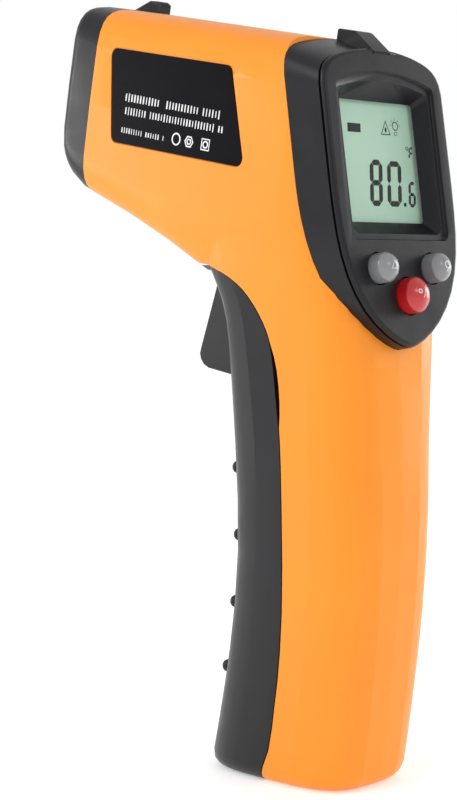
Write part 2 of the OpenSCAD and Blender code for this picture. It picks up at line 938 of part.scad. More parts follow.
// One cell, its nub up or down
module cell(side, up) {
    translate([side * cell_x, cell_y, cell_z + cell_len / 2])
        rotate([up ? 0 : 180, 0, 0])
            translate([0, 0, -cell_len / 2]) {
                cylinder(r = cell_r, h = cell_len);
                cylinder(r = 1.9, h = cell_len + 0.9);
            }
}

module cell_1() {
    color("indigo") cell(-1, true);
}

module cell_2() {
    color("indigo") cell(1, false);
}

module contact_springs() {
    color("silver") {
        translate([-cell_x, cell_y, tray_z + 2.0]) coil(3.6, 2.4, cell_z - tray_z - 2.05, 0.35, 2, 5, 10);
        translate([cell_x, cell_y, tray_top - 2.0]) mirror([0, 0, 1])
            coil(3.6, 2.4, tray_top - 2.05 - cell_z - cell_len, 0.35, 2, 5, 10);
    }
}

module contact_plates() {
    color("silver")
        for (side = [-1, 1], z = [tray_z + 1.45, tray_top - 1.95])
            translate([side * cell_x - 4.4, -0.8, z]) cube([8.8, 8, 0.5]);
}

// ---- screws and wires ----

module shell_screws() {
    color("silver")
        for (p = SHELL_SCREWS)
            translate([0, p[1], p[2]]) rotate([0, 90, 0])
                difference() {
                    union() {
                        translate([0, 0, p[0]]) cylinder(r = 2.3, h = 1.6);
                        translate([0, 0, screw_tip]) cylinder(r = 1.04, h = p[0] - screw_tip + 0.1);
                    }
                    for (turn = [0, 90])
                        rotate(turn) translate([-1.5, -0.3, p[0] + 0.8]) cube([3, 0.6, 2]);
                }
}

// Place behind the main board, from display coordinates
function behind_board(x, v, back) =
    [x, face_to_y(v, board_n - board_t - back), face_to_z(v, board_n - board_t - back)];

module battery_lead(side) {
    bar(route([
        [side * 9.4, -4.2, 66],
        [side * 9.4, -5.6, 74],
        [side * 8, -8, 84],
        behind_board(side * 4, -24, 2.4),
        behind_board(side * 4, -22, 0.7)
    ]), 0.6, 6);
}

module lead_red() {
    color("red") battery_lead(-1);
}

module lead_black() {
    color("#202020") battery_lead(1);
}

// Wires from a board in the nose back to the main board
module head_wires(x, start_y, start_z, dip, v, r) {
    bar(route([
        [x, head_to_y(start_y, start_z), head_to_z(start_y, start_z)],
        [x, head_to_y(start_y - 8, start_z), head_to_z(start_y - 8, start_z)],
        [x, head_to_y(34, start_z - dip), head_to_z(34, start_z - dip)],
        behind_board(x, v, 5),
        behind_board(x, v, 0.7)
    ]), r, 6);
}

module sensor_leads() {
    color("white")
        for (x = [-6, -4.4, 4.4, 6])
            head_wires(x, bracket_y - 11.5, ir_z, 2, 2, 0.5);
}

module laser_leads() {
    color("red")
        for (x = [-1, 1])
            head_wires(x, bracket_y - 4.6, laser_z, 8, 14, 0.5);
}

left_shell();
right_shell();
front_cap();
display_bezel();
battery_door();
side_label();
caution_label();
display_window();
lcd_glass();
lcd_frame();
backlight_plate();
zebra_strip();
main_board();
board_screws();
button_switches();
laser_button();
backlight_button();
unit_button();
laser_plunger();
backlight_plunger();
unit_plunger();
trigger();
trigger_pin();
trigger_spring();
trigger_board();
trigger_switch();
trigger_plunger();
optics_bracket();
lens_funnel();
ir_lens();
thermopile();
sensor_board();
laser_module();
battery_tray();
cell_1();
cell_2();
contact_springs();
contact_plates();
door_pin();
shell_screws();
lead_red();
lead_black();
sensor_leads();
laser_leads();
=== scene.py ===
"""Looks of a pistol-grip infrared thermometer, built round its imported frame.

Sizes of pieces are given in millimetres and turn to metres where points are made. Finishes and
the studio are given in metres.
"""

import logging
import math
from collections.abc import Iterable, Sequence
from dataclasses import dataclass
from enum import Enum
from typing import ClassVar

import bmesh
import bpy
from mathutils import Matrix, Vector
from mathutils.bvhtree import BVHTree


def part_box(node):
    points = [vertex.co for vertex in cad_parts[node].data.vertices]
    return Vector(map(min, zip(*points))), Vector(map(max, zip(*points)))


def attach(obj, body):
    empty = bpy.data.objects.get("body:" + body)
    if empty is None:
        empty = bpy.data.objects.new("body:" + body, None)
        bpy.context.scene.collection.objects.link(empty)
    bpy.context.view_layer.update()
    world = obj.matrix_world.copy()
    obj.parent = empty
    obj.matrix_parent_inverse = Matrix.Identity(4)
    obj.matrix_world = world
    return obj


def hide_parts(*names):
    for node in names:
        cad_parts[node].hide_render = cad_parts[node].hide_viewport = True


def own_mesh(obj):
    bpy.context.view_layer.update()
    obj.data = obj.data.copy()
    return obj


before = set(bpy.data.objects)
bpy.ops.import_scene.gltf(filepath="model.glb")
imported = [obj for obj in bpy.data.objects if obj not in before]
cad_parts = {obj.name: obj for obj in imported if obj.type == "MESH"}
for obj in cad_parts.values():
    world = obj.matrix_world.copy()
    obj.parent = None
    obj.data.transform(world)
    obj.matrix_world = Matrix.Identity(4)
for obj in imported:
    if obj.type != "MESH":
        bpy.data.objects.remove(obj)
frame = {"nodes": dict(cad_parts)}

LOG = logging.getLogger("thermometer")
MM = 0.001
PITCH = math.radians(11.0)
# Where most of a noise lies
NOISE_LOW, NOISE_HIGH = 0.3, 0.7
Colour = tuple[float, float, float]
Point = tuple[float, float, float]
Pair = tuple[float, float]
Socket = bpy.types.NodeSocket
Piece = bpy.types.Object
Mesh = bpy.types.Mesh
Shape = bmesh.types.BMesh


class Body(Enum):
    """The moving bodies that pieces ride on."""

    HOUSING = "housing"
    LASER_KEY = "laser_key"
    BACKLIGHT_KEY = "backlight_key"
    UNIT_KEY = "unit_key"
    TRIGGER = "trigger"
    PLUNGER = "trigger_plunger"
    DOOR = "battery_door"


class Grain(Enum):
    """Surface textures of a mould: grains to the metre, and their depth in metres."""

    POLISHED = (900.0, 0.000002)
    SATIN = (2600.0, 0.000012)
    SPARKED = (3400.0, 0.00003)


# ---- finishes ----


class Graph:
    """The node tree of one material, with short ways to add and join nodes."""

    def __init__(self, name: str) -> None:
        """Starts a material with one shader.

        Args:
            name: The material's name.
        """
        self.material = bpy.data.materials.new(name)
        self.material.use_nodes = True
        self.tree = self.material.node_tree
        self.shader = self.tree.nodes["Principled BSDF"]
        self.place = self.add("ShaderNodeTexCoord").outputs["Object"]

    def add(self, kind: str, **settings: object) -> bpy.types.Node:
        """Adds a node.

        Args:
            kind: The node's type name.
            **settings: Properties to set on it.

        Returns:
            The new node.
        """
        node = self.tree.nodes.new(kind)
        for key, value in settings.items():
            setattr(node, key, value)
        return node

    def join(self, source: Socket, target: Socket) -> None:
        """Links one socket to another.

        Args:
            source: An output.
            target: An input.
        """
        self.tree.links.new(source, target)

    def set(self, **values: object) -> None:
        """Sets sockets of the shader.

        Args:
            **values: Socket names, with _ for a space, and their values.
        """
        for key, value in values.items():
            self.shader.inputs[key.replace("_", " ")].default_value = value

    def noise(self, scale: float, detail: float = 2.0,
              stretch: Point = (1.0, 1.0, 1.0)) -> Socket:
        """Adds noise in the object's own coordinates.

        Args:
            scale: Cells to the metre.
            detail: Octaves of the noise.
            stretch: Scale along each axis.

        Returns:
            The noise's value.
        """
        mapping = self.add("ShaderNodeMapping")
        mapping.inputs["Scale"].default_value = stretch
        self.join(self.place, mapping.inputs["Vector"])
        node = self.add("ShaderNodeTexNoise")
        node.inputs["Scale"].default_value = scale
        node.inputs["Detail"].default_value = detail
        self.join(mapping.outputs["Vector"], node.inputs["Vector"])
        return node.outputs["Fac"]

    def ramp(self, value: Socket, stops: Sequence[tuple[float, Colour]],
             blend: str = "LINEAR") -> Socket:
        """Adds a colour ramp.

        Args:
            value: What the ramp reads.
            stops: Places and colours, in order.
            blend: How one colour passes into the next.

        Returns:
            The ramp's colour.
        """
        node = self.add("ShaderNodeValToRGB")
        node.color_ramp.interpolation = blend
        elements = node.color_ramp.elements
        while len(elements) < len(stops):
            elements.new(0.5)
        for element, (place, colour) in zip(elements, stops):
            element.position = place
            element.color = (*colour, 1.0)
        self.join(value, node.inputs["Fac"])
        return node.outputs["Color"]

    def remap(self, value: Socket, low: float, high: float) -> Socket:
        """Spreads the middle of a noise over a range.

        Args:
            value: The noise.
            low: Result at its low end.
            high: Result at its high end.

        Returns:
            The remapped value.
        """
        node = self.add("ShaderNodeMapRange")
        node.inputs["From Min"].default_value = NOISE_LOW
        node.inputs["From Max"].default_value = NOISE_HIGH
        node.inputs["To Min"].default_value = low
        node.inputs["To Max"].default_value = high
        self.join(value, node.inputs["Value"])
        return node.outputs["Result"]

    def tint(self, value: Socket, colour: Colour, dark: float, light: float) -> Socket:
        """Gives the shader a colour that varies with a noise.

        Args:
            value: The noise.
            colour: The colour between dark and light.
            dark: Factor of its darkest part.
            light: Factor of its lightest part.

        Returns:
            The varied colour.
        """
        tint = self.ramp(value, [
            (NOISE_LOW, shade(colour, dark)), (NOISE_HIGH, shade(colour, light))])
        self.join(tint, self.shader.inputs["Base Color"])
        return tint

    def dull(self, value: Socket, low: float, high: float) -> None:
        """Gives the shader a roughness that varies with a noise.

        Args:
            value: The noise.
            low: Least roughness.
            high: Most roughness.
        """
        self.join(self.remap(value, low, high), self.shader.inputs["Roughness"])

    def bump(self, height: Socket, depth: float, strength: float = 1.0) -> None:
        """Adds a bump in front of any earlier one.

        Args:
            height: Height between 0 and 1.
            depth: What a height of 1 stands for, in metres.
            strength: Share of the bump that is kept.
        """
        node = self.add("ShaderNodeBump")
        node.inputs["Distance"].default_value = depth
        node.inputs["Strength"].default_value = strength
        self.join(height, node.inputs["Height"])
        normal = self.shader.inputs["Normal"]
        if normal.is_linked:
            self.join(normal.links[0].from_socket, node.inputs["Normal"])
        self.join(node.outputs["Normal"], normal)


def shade(colour: Colour, factor: float) -> Colour:
    """Makes a colour lighter or darker.

    Args:
        colour: The colour.
        factor: Over 1 to make it lighter, under 1 to make it darker.

    Returns:
        The new colour.
    """
    return tuple(min(max(part * factor, 0.0), 1.0) for part in colour)


@dataclass(frozen=True)
class Finish:
    """A finish with a name. Each kind of finish fills its node graph in its own way."""

    name: str

    def material(self) -> bpy.types.Material:
        """Builds the material.

        Returns:
            The material.
        """
        graph = Graph(self.name)
        self.fill(graph)
        return graph.material

    def fill(self, graph: Graph) -> None:
        """Fills the material's node graph.

        Args:
            graph: The graph.
        """
        raise NotImplementedError


@dataclass(frozen=True)
class MouldedPlastic(Finish):
    """Injection-moulded plastic with a mould texture, faint mottling and handling marks."""

    colour: Colour
    roughness: float = 0.42
    grain: Grain = Grain.SATIN
    mottle: float = 0.04
    handling: float = 0.05
    gloss: float = 0.5
    glow: float = 0.0

    def fill(self, graph: Graph) -> None:
        """Fills the graph with mottling, handling marks and the mould's grain."""
        graph.tint(graph.noise(45.0, 3.0), self.colour, 1.0 - self.mottle, 1.0 + self.mottle)
        marks = graph.noise(160.0, 5.0)
        graph.dull(marks, self.roughness - self.handling, self.roughness + self.handling)
        scale, depth = self.grain.value
        graph.bump(graph.noise(scale), depth, 0.55)
        graph.set(IOR=1.5, Specular_IOR_Level=self.gloss)
        if self.glow:
            graph.set(Subsurface_Weight=self.glow, Subsurface_Radius=(0.002, 0.0008, 0.0003))


@dataclass(frozen=True)
class RubberKey(Finish):
    """Silicone rubber with a fine matt skin, a little shinier where fingers press it."""

    colour: Colour

    def fill(self, graph: Graph) -> None:
        """Fills the graph with a fine skin under a thin coat."""
        graph.tint(graph.noise(700.0, 4.0), self.colour, 0.93, 1.06)
        graph.dull(graph.noise(260.0, 3.0), 0.3, 0.42)
        graph.bump(graph.noise(3000.0), 0.00001, 0.5)
        graph.set(Coat_Weight=0.6, Coat_Roughness=0.2)


@dataclass(frozen=True)
class PrintedFilm(Finish):
    """Label film with a faint orange-peel lacquer."""

    colour: Colour
    roughness: float = 0.24
    gloss: float = 0.4

    def fill(self, graph: Graph) -> None:
        """Fills the graph with fibres under the lacquer."""
        graph.tint(graph.noise(500.0, 3.0, (1.0, 0.4, 1.0)), self.colour, 0.9, 1.12)
        graph.dull(graph.noise(90.0, 4.0), self.roughness - 0.05, self.roughness + 0.08)
        graph.bump(graph.noise(650.0, 1.0), 0.00001, 0.35)
        graph.set(Specular_IOR_Level=self.gloss)


@dataclass(frozen=True)
class Metal(Finish):
    """Bare or plated metal with fine drawing lines."""

    colour: Colour
    roughness: float = 0.3
    lines: Point = (1.0, 1.0, 1.0)

    def fill(self, graph: Graph) -> None:
        """Fills the graph with drawing lines and worn patches."""
        streak = graph.noise(1500.0, 3.0, self.lines)
        graph.tint(streak, self.colour, 0.86, 1.08)
        graph.dull(graph.noise(300.0, 4.0), self.roughness - 0.08, self.roughness + 0.1)
        graph.bump(streak, 0.000006, 0.4)
        graph.set(Metallic=1.0)


@dataclass(frozen=True)
class CircuitBoard(Finish):
    """Solder mask over copper tracks, on glass cloth."""

    mask: Colour = (0.012, 0.14, 0.045)
    copper: Colour = (0.03, 0.24, 0.07)

    def fill(self, graph: Graph) -> None:
        """Fills the graph with square cells for tracks and fine cloth."""
        cells = graph.add("ShaderNodeTexVoronoi", distance="CHEBYCHEV", feature="F1")
        cells.inputs["Scale"].default_value = 420.0
        graph.join(graph.place, cells.inputs["Vector"])
        tracks = graph.ramp(cells.outputs["Distance"], [(0.44, self.copper), (0.5, self.mask)])
        graph.join(tracks, graph.shader.inputs["Base Color"])
        graph.bump(cells.outputs["Distance"], 0.00002, 0.3)
        graph.bump(graph.noise(2400.0, 1.0), 0.000008, 0.3)
        graph.set(Roughness=0.28, Coat_Weight=0.3, Coat_Roughness=0.15)


@dataclass(frozen=True)
class LiquidCrystal(Finish):
    """Reflective display glass: pale green, slightly clouded, lit from behind."""

    colour: Colour
    light: float = 0.25

    def fill(self, graph: Graph) -> None:
        """Fills the graph with a clouded colour that also glows."""
        tint = graph.tint(graph.noise(60.0), self.colour, 0.965, 1.03)
        graph.join(tint, graph.shader.inputs["Emission Color"])
        graph.set(Emission_Strength=self.light, Roughness=0.3)
        graph.bump(graph.noise(5200.0, 1.0), 0.000003, 0.3)


@dataclass(frozen=True)
class ClearSheet(Finish):
    """Clear acrylic: almost unseen but for its gloss."""

    opacity: float = 0.1

    def fill(self, graph: Graph) -> None:
        """Fills the graph with thin, glossy, nearly clear plastic."""
        graph.dull(graph.noise(120.0, 3.0), 0.03, 0.07)
        graph.set(Base_Color=(0.86, 0.93, 0.88, 1.0), Alpha=self.opacity)
        graph.set(IOR=1.49, Specular_IOR_Level=0.6)
        graph.material.surface_render_method = "BLENDED"


@dataclass(frozen=True)
class CoatedLens(Finish):
    """Dark lens whose coat turns purple, then amber, towards its rim: partly the coat's own tint,
    partly a painted reflection.
    """

    # Colours from face-on to glancing: the coat's own tint and a painted reflection
    stops: tuple[tuple[float, Colour], ...] = (
        (0.0, (0.05, 0.03, 0.07)), (0.45, (0.13, 0.05, 0.22)), (1.0, (0.28, 0.16, 0.06)))

    def fill(self, graph: Graph) -> None:
        """Fills the graph with a colour that changes with the angle of sight: the coat's tint
        with a painted reflection.
        """
        facing = graph.add("ShaderNodeLayerWeight")
        facing.inputs["Blend"].default_value = 0.45
        # painted reflection: the coat's purple and amber are painted into the colour by the angle
        # of sight
        coat_tint_and_reflection = graph.ramp(facing.outputs["Facing"], self.stops)
        graph.join(coat_tint_and_reflection, graph.shader.inputs["Base Color"])
        graph.dull(graph.noise(200.0), 0.04, 0.09)
        graph.set(Coat_Weight=1.0, Coat_Roughness=0.03, Specular_IOR_Level=0.9)


@dataclass(frozen=True)
class CellWrap(Finish):
    """Shrink film of a cell: a purple field, a gold band with fine lines and no lettering."""

    low: float
    high: float

    GOLD: ClassVar[Colour] = (0.62, 0.36, 0.1)
    STOPS: ClassVar[tuple[tuple[float, Colour], ...]] = (
        (0.0, GOLD), (0.04, (0.075, 0.028, 0.26)), (0.7, (0.9, 0.86, 0.8)),
        (0.712, (0.04, 0.02, 0.2)), (0.97, GOLD))

    def fill(self, graph: Graph) -> None:
        """Fills the graph with bands along the cell, crossed by fine stripes."""
        split = graph.add("ShaderNodeSeparateXYZ")
        graph.join(graph.place, split.inputs["Vector"])
        along = graph.add("ShaderNodeMapRange")
        along.inputs["From Min"].default_value = self.low
        along.inputs["From Max"].default_value = self.high
        graph.join(split.outputs["Z"], along.inputs["Value"])
        bands = graph.ramp(along.outputs["Result"], self.STOPS, "CONSTANT")
        stripes = graph.add("ShaderNodeTexWave", bands_direction="Z", wave_profile="SIN")
        stripes.inputs["Scale"].default_value = 260.0
        graph.join(graph.place, stripes.inputs["Vector"])
        mixed = graph.add("ShaderNodeMix", data_type="RGBA", blend_type="MULTIPLY")
        mixed.inputs["Factor"].default_value = 0.25
        graph.join(bands, mixed.inputs["A"])
        graph.join(stripes.outputs["Color"], mixed.inputs["B"])
        graph.join(mixed.outputs["Result"], graph.shader.inputs["Base Color"])
        graph.dull(graph.noise(400.0, 3.0), 0.22, 0.34)
        graph.bump(graph.noise(300.0), 0.00002, 0.3)
        graph.set(Metallic=0.35, Coat_Weight=0.4, Coat_Roughness=0.12)


class Palette:
    """Makes each finish once and hands it out by name."""

    ORANGE = (0.9, 0.275, 0.008)
    BLACK = (0.0072, 0.0074, 0.0092)
    FINISHES = (
        MouldedPlastic("orange_shell", ORANGE, 0.38, Grain.SATIN, 0.03, 0.05, 0.42, 0.04),
        MouldedPlastic("black_moulding", BLACK, 0.33, Grain.SPARKED, 0.12, 0.05, 0.3),
        MouldedPlastic(
            "trigger_plastic", (0.0095, 0.0098, 0.0115), 0.38, Grain.SPARKED, 0.1, 0.05, 0.34),
        MouldedPlastic("dark_plastic", (0.014, 0.014, 0.015), 0.5, Grain.SATIN, 0.1, 0.06, 0.4),
        MouldedPlastic("white_plastic", (0.78, 0.78, 0.74), 0.45, Grain.SATIN, 0.03, 0.05),
        MouldedPlastic("dark_rubber", (0.03, 0.03, 0.03), 0.7, Grain.SATIN, 0.1, 0.06, 0.3),
        MouldedPlastic("red_jacket", (0.55, 0.02, 0.02), 0.35, Grain.POLISHED),
        MouldedPlastic("black_jacket", (0.012, 0.012, 0.012), 0.35, Grain.POLISHED),
        MouldedPlastic("white_jacket", (0.75, 0.75, 0.72), 0.35, Grain.POLISHED),
        RubberKey("grey_key", (0.205, 0.21, 0.218)),
        RubberKey("red_key", (0.5, 0.006, 0.008)),
        PrintedFilm("label_film", (0.0028, 0.0026, 0.0042), 0.34, 0.05),
        PrintedFilm("label_ink", (0.82, 0.82, 0.82), 0.35),
        PrintedFilm("caution_film", (0.82, 0.56, 0.02), 0.3),
        PrintedFilm("caution_ink", (0.012, 0.012, 0.012), 0.35),
        PrintedFilm("key_ink", (0.6, 0.6, 0.6), 0.4),
        PrintedFilm("segment_ink", (0.001, 0.002, 0.0015), 0.6, 0.0),
        Metal("zinc_steel", (0.55, 0.56, 0.58), 0.3, (1.0, 1.0, 0.2)),
        Metal("spring_steel", (0.6, 0.6, 0.6), 0.2),
        Metal("nickel", (0.66, 0.63, 0.57), 0.22, (0.3, 1.0, 1.0)),
        Metal("brass", (0.72, 0.5, 0.2), 0.28, (1.0, 0.2, 1.0)),
        CircuitBoard("circuit_board"),
        LiquidCrystal("liquid_crystal", (0.33, 0.51, 0.39), 0.12),
        ClearSheet("clear_acrylic", 0.03),
        CoatedLens("coated_lens"),
    )

    def __init__(self) -> None:
        """Starts with no material made."""
        self.known = {finish.name: finish for finish in self.FINISHES}
        self.made: dict[str, bpy.types.Material] = {}

    def learn(self, finish: Finish) -> None:
        """Adds a finish that is not among the usual ones.

        Args:
            finish: The finish.
        """
        self.known[finish.name] = finish

    def get(self, name: str) -> bpy.types.Material:
        """Returns a finish's material, making it at first use.

        Args:
            name: The finish's name.

        Returns:
            The material.
        """
        if name not in self.made:
            self.made[name] = self.known[name].material()
        return self.made[name]


# ---- making meshes ----


def head_point(x: float, along: float, up: float) -> Vector:
    """Turns head coordinates in millimetres into a place in metres.

    Args:
        x: Sideways.
        along: Along the head's axis, to the nose.
        up: Square to the head's axis.

    Returns:
        The place.
    """
    return Vector((
        x,
        along * math.cos(PITCH) - up * math.sin(PITCH),
        along * math.sin(PITCH) + up * math.cos(PITCH),
    )) * MM


@dataclass(frozen=True)
class DisplayFace:
    """Plane of the display: where its centre is and how far it leans."""

    y: float = -22.1
    z: float = 126.3
    tilt: float = math.radians(8.5)

    def point(self, x: float, up: float, out: float) -> Vector:
        """Turns face coordinates in millimetres into a place in metres.

        Args:
            x: Sideways.
            up: Up the face.
            out: Out of the face, towards the user.

        Returns:
            The place.
        """
        return Vector((
            x,
            self.y + up * math.sin(self.tilt) - out * math.cos(self.tilt),
            self.z + up * math.cos(self.tilt) + out * math.sin(self.tilt),
        )) * MM


FACE = DisplayFace()


@dataclass(frozen=True)
class Skin:
    """How one frame node is refined, and where the refined piece goes.

    Attributes:
        node: The frame node that the piece stands for.
        finish: Its finish.
        slot: The record's material slot.
        body: What it rides on.
        crease: Angle in degrees over which an edge stays sharp.
        bevel: Width of the softened edges, or 0 for none.
        beside: A neighbour's node whose room in this one keeps a sharp edge.
        flowing: Whether its skin flows in one curve, without flats.
    """

    node: str
    finish: str
    slot: str
    body: Body = Body.HOUSING
    crease: float = 34.0
    bevel: float = 0.0
    beside: str = ""
    flowing: bool = False


class Workshop:
    """Makes pieces, dresses them and puts them on their bodies."""

    WELD = 0.000002
    FLAT = math.radians(0.3)
    BEVELLED_CREASE = math.radians(55.0)
    ROOM_REACH = 0.12

    def __init__(self, nodes: dict[str, Piece], palette: Palette) -> None:
        """Keeps what every piece needs.

        Args:
            nodes: The frame's nodes by name.
            palette: The finishes.
        """
        self.nodes = nodes
        self.palette = palette

    def new_object(self, name: str, mesh: Mesh) -> Piece:
        """Puts a mesh in the scene as an object at the origin.

        Args:
            name: The object's name.
            mesh: Its mesh.

        Returns:
            The object.
        """
        mesh.name = name
        piece = bpy.data.objects.new(name, mesh)
        bpy.context.scene.collection.objects.link(piece)
        return piece

    def baked(self, piece: Piece) -> Piece:
        """Turns a piece with modifiers into a plain one.

        Args:
            piece: The piece.

        Returns:
            The same piece, its modifiers applied and removed.
        """
        graph = bpy.context.evaluated_depsgraph_get()
        mesh = bpy.data.meshes.new_from_object(
            piece.evaluated_get(graph), preserve_all_data_layers=True, depsgraph=graph)
        piece.modifiers.clear()
        piece.data = mesh
        mesh.name = piece.name
        return piece

    def refine(self, skin: Skin) -> Piece:
        """Makes a smooth-shaded copy of a frame node, with softened edges if asked.

        Args:
            skin: Which node, and how.

        Returns:
            The piece.
        """
        shape = bmesh.new()
        shape.from_mesh(self.nodes[skin.node].data)
        bmesh.ops.remove_doubles(shape, verts=shape.verts, dist=self.WELD)
        bmesh.ops.dissolve_limit(
            shape, angle_limit=self.FLAT, verts=shape.verts, edges=shape.edges)
        mesh = bpy.data.meshes.new(skin.node)
        shape.to_mesh(mesh)
        shape.free()
        piece = self.new_object(skin.node + "_skin", mesh)
        mesh.materials.append(self.palette.get(skin.finish))
        mesh.shade_smooth()
        crease = math.radians(skin.crease)
        if skin.bevel:
            cut = piece.modifiers.new("edge", "BEVEL")
            cut.width = skin.bevel * MM
            cut.segments = 2
            cut.limit_method = "ANGLE"
            cut.angle_limit = crease
            cut.use_clamp_overlap = True
            cut.miter_outer = "MITER_ARC"
            self.baked(piece)
            piece.data.set_sharp_from_angle(angle=self.BEVELLED_CREASE)
        else:
            mesh.set_sharp_from_angle(angle=crease)
        if skin.beside:
            self.part_from(piece.data, skin.beside)
        weigh = piece.modifiers.new("weigh", "WEIGHTED_NORMAL")
        weigh.keep_sharp = True
        weigh.weight = 50
        weigh.mode = "CORNER_ANGLE" if skin.flowing else "FACE_AREA"
        return self.baked(piece)

    def part_from(self, mesh: Mesh, neighbour: str) -> None:
        """Keeps the edge sharp between a mesh's skin and the room cut for its neighbour.

        Args:
            mesh: The mesh.
            neighbour: The frame node that sits in the room.
        """
        shape = bmesh.new()
        shape.from_mesh(self.nodes[neighbour].data)
        tree = BVHTree.FromBMesh(shape)
        shape.free()
        body = bmesh.new()
        body.from_mesh(mesh)
        for edge in body.edges:
            in_room = {
                tree.find_nearest(face.calc_center_median(), self.ROOM_REACH * MM)[0] is not None
                for face in edge.link_faces}
            if len(edge.link_faces) == 2 and len(in_room) == 2:
                edge.smooth = False
        body.to_mesh(mesh)
        body.free()

    def place(self, piece: Piece, body: Body, slot: str, *stands_for: str) -> Piece:
        """Puts a finished piece on its body.

        Args:
            piece: The piece.
            body: What it rides on.
            slot: Not used.
            *stands_for: Frame nodes that it replaces.

        Returns:
            The piece.
        """
        if stands_for:
            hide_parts(*stands_for)
        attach(piece, body.value)
        LOG.info("%s: %d faces on %s", piece.name, len(piece.data.polygons), body.value)
        return piece

    def dress(self, skin: Skin) -> None:
        """Refines a frame node and puts the piece on its body.

        Args:
            skin: Which node, how and where.
        """
        self.place(self.refine(skin), skin.body, skin.slot, skin.node)

    def from_shape(self, name: str, shape: Shape, finish: str, crease: float = 35.0) -> Piece:
        """Turns a finished bmesh, in metres, into a piece.

        Args:
            name: The piece's name.
            shape: The mesh, which is freed.
            finish: Its finish.
            crease: Angle in degrees over which an edge stays sharp.

        Returns:
            The piece.
        """
        bmesh.ops.recalc_face_normals(shape, faces=shape.faces)
        mesh = bpy.data.meshes.new(name)
        shape.to_mesh(mesh)
        shape.free()
        mesh.materials.append(self.palette.get(finish))
        mesh.shade_smooth()
        mesh.set_sharp_from_angle(angle=math.radians(crease))
        return self.new_object(name, mesh)


def polygon(centre: Pair, reach: float, sides: int, turn: float = 0.0) -> list[Pair]:
    """Returns the corners of a regular outline.

    Args:
        centre: Its middle.
        reach: Radius of its corners.
        sides: How many corners it has.
        turn: Angle of its first corner, in radians.

    Returns:
        The corners.
    """
    angles = [turn + math.tau * k / sides for k in range(sides)]
    return [(centre[0] + reach * math.cos(a), centre[1] + reach * math.sin(a)) for a in angles]


def add_slab(shape: Shape, outline: list[Vector], out: Vector) -> None:
    """Adds a thin closed slab.

    Args:
        shape: Where it goes.
        outline: Corners of its lower face, in metres.
        out: From the lower face to the upper one.
    """
    low = [shape.verts.new(p) for p in outline]
    high = [shape.verts.new(p + out) for p in outline]
    count = len(outline)
    shape.faces.new(low)
    shape.faces.new(high[::-1])
    for i in range(count):
        j = (i + 1) % count
        shape.faces.new([low[i], high[i], high[j], low[j]])


def add_ring(shape: Shape, outline: list[Vector], inner: list[Vector], out: Vector) -> None:
    """Adds a thin closed band between two outlines of equal count.

    Args:
        shape: Where it goes.
        outline: Outer corners of the lower face, in metres.
        inner: Inner corners of the lower face.
        out: From the lower face to the upper one.
    """
    rows = [[shape.verts.new(p) for p in row] for row in (
        outline, [p + out for p in outline], [p + out for p in inner], inner)]
    count = len(outline)
    for k in range(4):
        a, b = rows[k], rows[(k + 1) % 4]
        for i in range(count):
            j = (i + 1) % count
            shape.faces.new([a[i], a[j], b[j], b[i]])


class GeometryTree:
    """A geometry node tree built in code, with named inputs."""

    KINDS = {float: "NodeSocketFloat", int: "NodeSocketInt", Vector: "NodeSocketVector"}

    def __init__(self, name: str, inputs: dict[str, object]) -> None:
        """Starts the tree.

        Args:
            name: The tree's name.
            inputs: Named inputs and their values.
        """
        self.tree = bpy.data.node_groups.new(name, "GeometryNodeTree")
        self.values: dict[str, object] = {}
        panel = self.tree.interface
        for way in ("INPUT", "OUTPUT"):
            panel.new_socket("Geometry", in_out=way, socket_type="NodeSocketGeometry")
        for key, value in inputs.items():
            socket = panel.new_socket(key, in_out="INPUT", socket_type=self.KINDS[type(value)])
            self.values[socket.identifier] = value
        self.start = self.tree.nodes.new("NodeGroupInput")
        self.end = self.tree.nodes.new("NodeGroupOutput")

    def add(self, kind: str, links: dict[str, object] | None = None,
            **settings: object) -> bpy.types.Node:
        """Adds a node.

        Args:
            kind: The node's type name.
            links: Input names with a socket to link or a value to set.
            **settings: Properties to set on it.

        Returns:
            The new node.
        """
        node = self.tree.nodes.new(kind)
        for key, value in settings.items():
            setattr(node, key, value)
        for key, value in (links or {}).items():
            if isinstance(value, Socket):
                self.tree.links.new(value, node.inputs[key])
            else:
                node.inputs[key].default_value = value
        return node

    def given(self, name: str) -> Socket:
        """Finds the socket of a named input.

        Args:
            name: The input's name.

        Returns:
            The socket, to link from.
        """
        return self.start.outputs[name]

    def close(self, geometry: Socket, material: bpy.types.Material) -> None:
        """Ends the tree in plain geometry with a finish.

        Args:
            geometry: What the tree has made.
            material: The finish.
        """
        for kind, links in (
            ("GeometryNodeRealizeInstances", {}),
            ("GeometryNodeSetShadeSmooth", {}),
            ("GeometryNodeSetMaterial", {"Material": material}),
        ):
            geometry = self.add(kind, {"Geometry": geometry} | links).outputs["Geometry"]
        self.tree.links.new(geometry, self.end.inputs["Geometry"])

    def run(self, shop: Workshop, name: str, start: Mesh | None = None) -> Piece:
        """Runs the tree on a start mesh and keeps the plain result.

        Args:
            shop: The workshop.
            name: The piece's name.
            start: The mesh that the tree reads, or none.

        Returns:
            The piece.
        """
        piece = shop.new_object(name, start or bpy.data.meshes.new(name))
        modifier = piece.modifiers.new("shape", "NODES")
        modifier.node_group = self.tree
        for key, value in self.values.items():
            modifier[key] = value
        return shop.baked(piece)


def path_mesh(name: str, lines: list[list[Vector]]) -> Mesh:
    """Makes a mesh of open lines of edges.

    Args:
        name: The mesh's name.
        lines: The points of each line, in metres.

    Returns:
        The mesh.
    """
    points: list[Vector] = []
    edges: list[tuple[int, int]] = []
    for line in lines:
        first = len(points)
        points.extend(line)
        edges.extend((first + i, first + i + 1) for i in range(len(line) - 1))
    mesh = bpy.data.meshes.new(name)
    mesh.from_pydata(points, edges, [])
    return mesh


# Angle over which the cut end of a bar keeps its edge
CUT_END = math.radians(60.0)


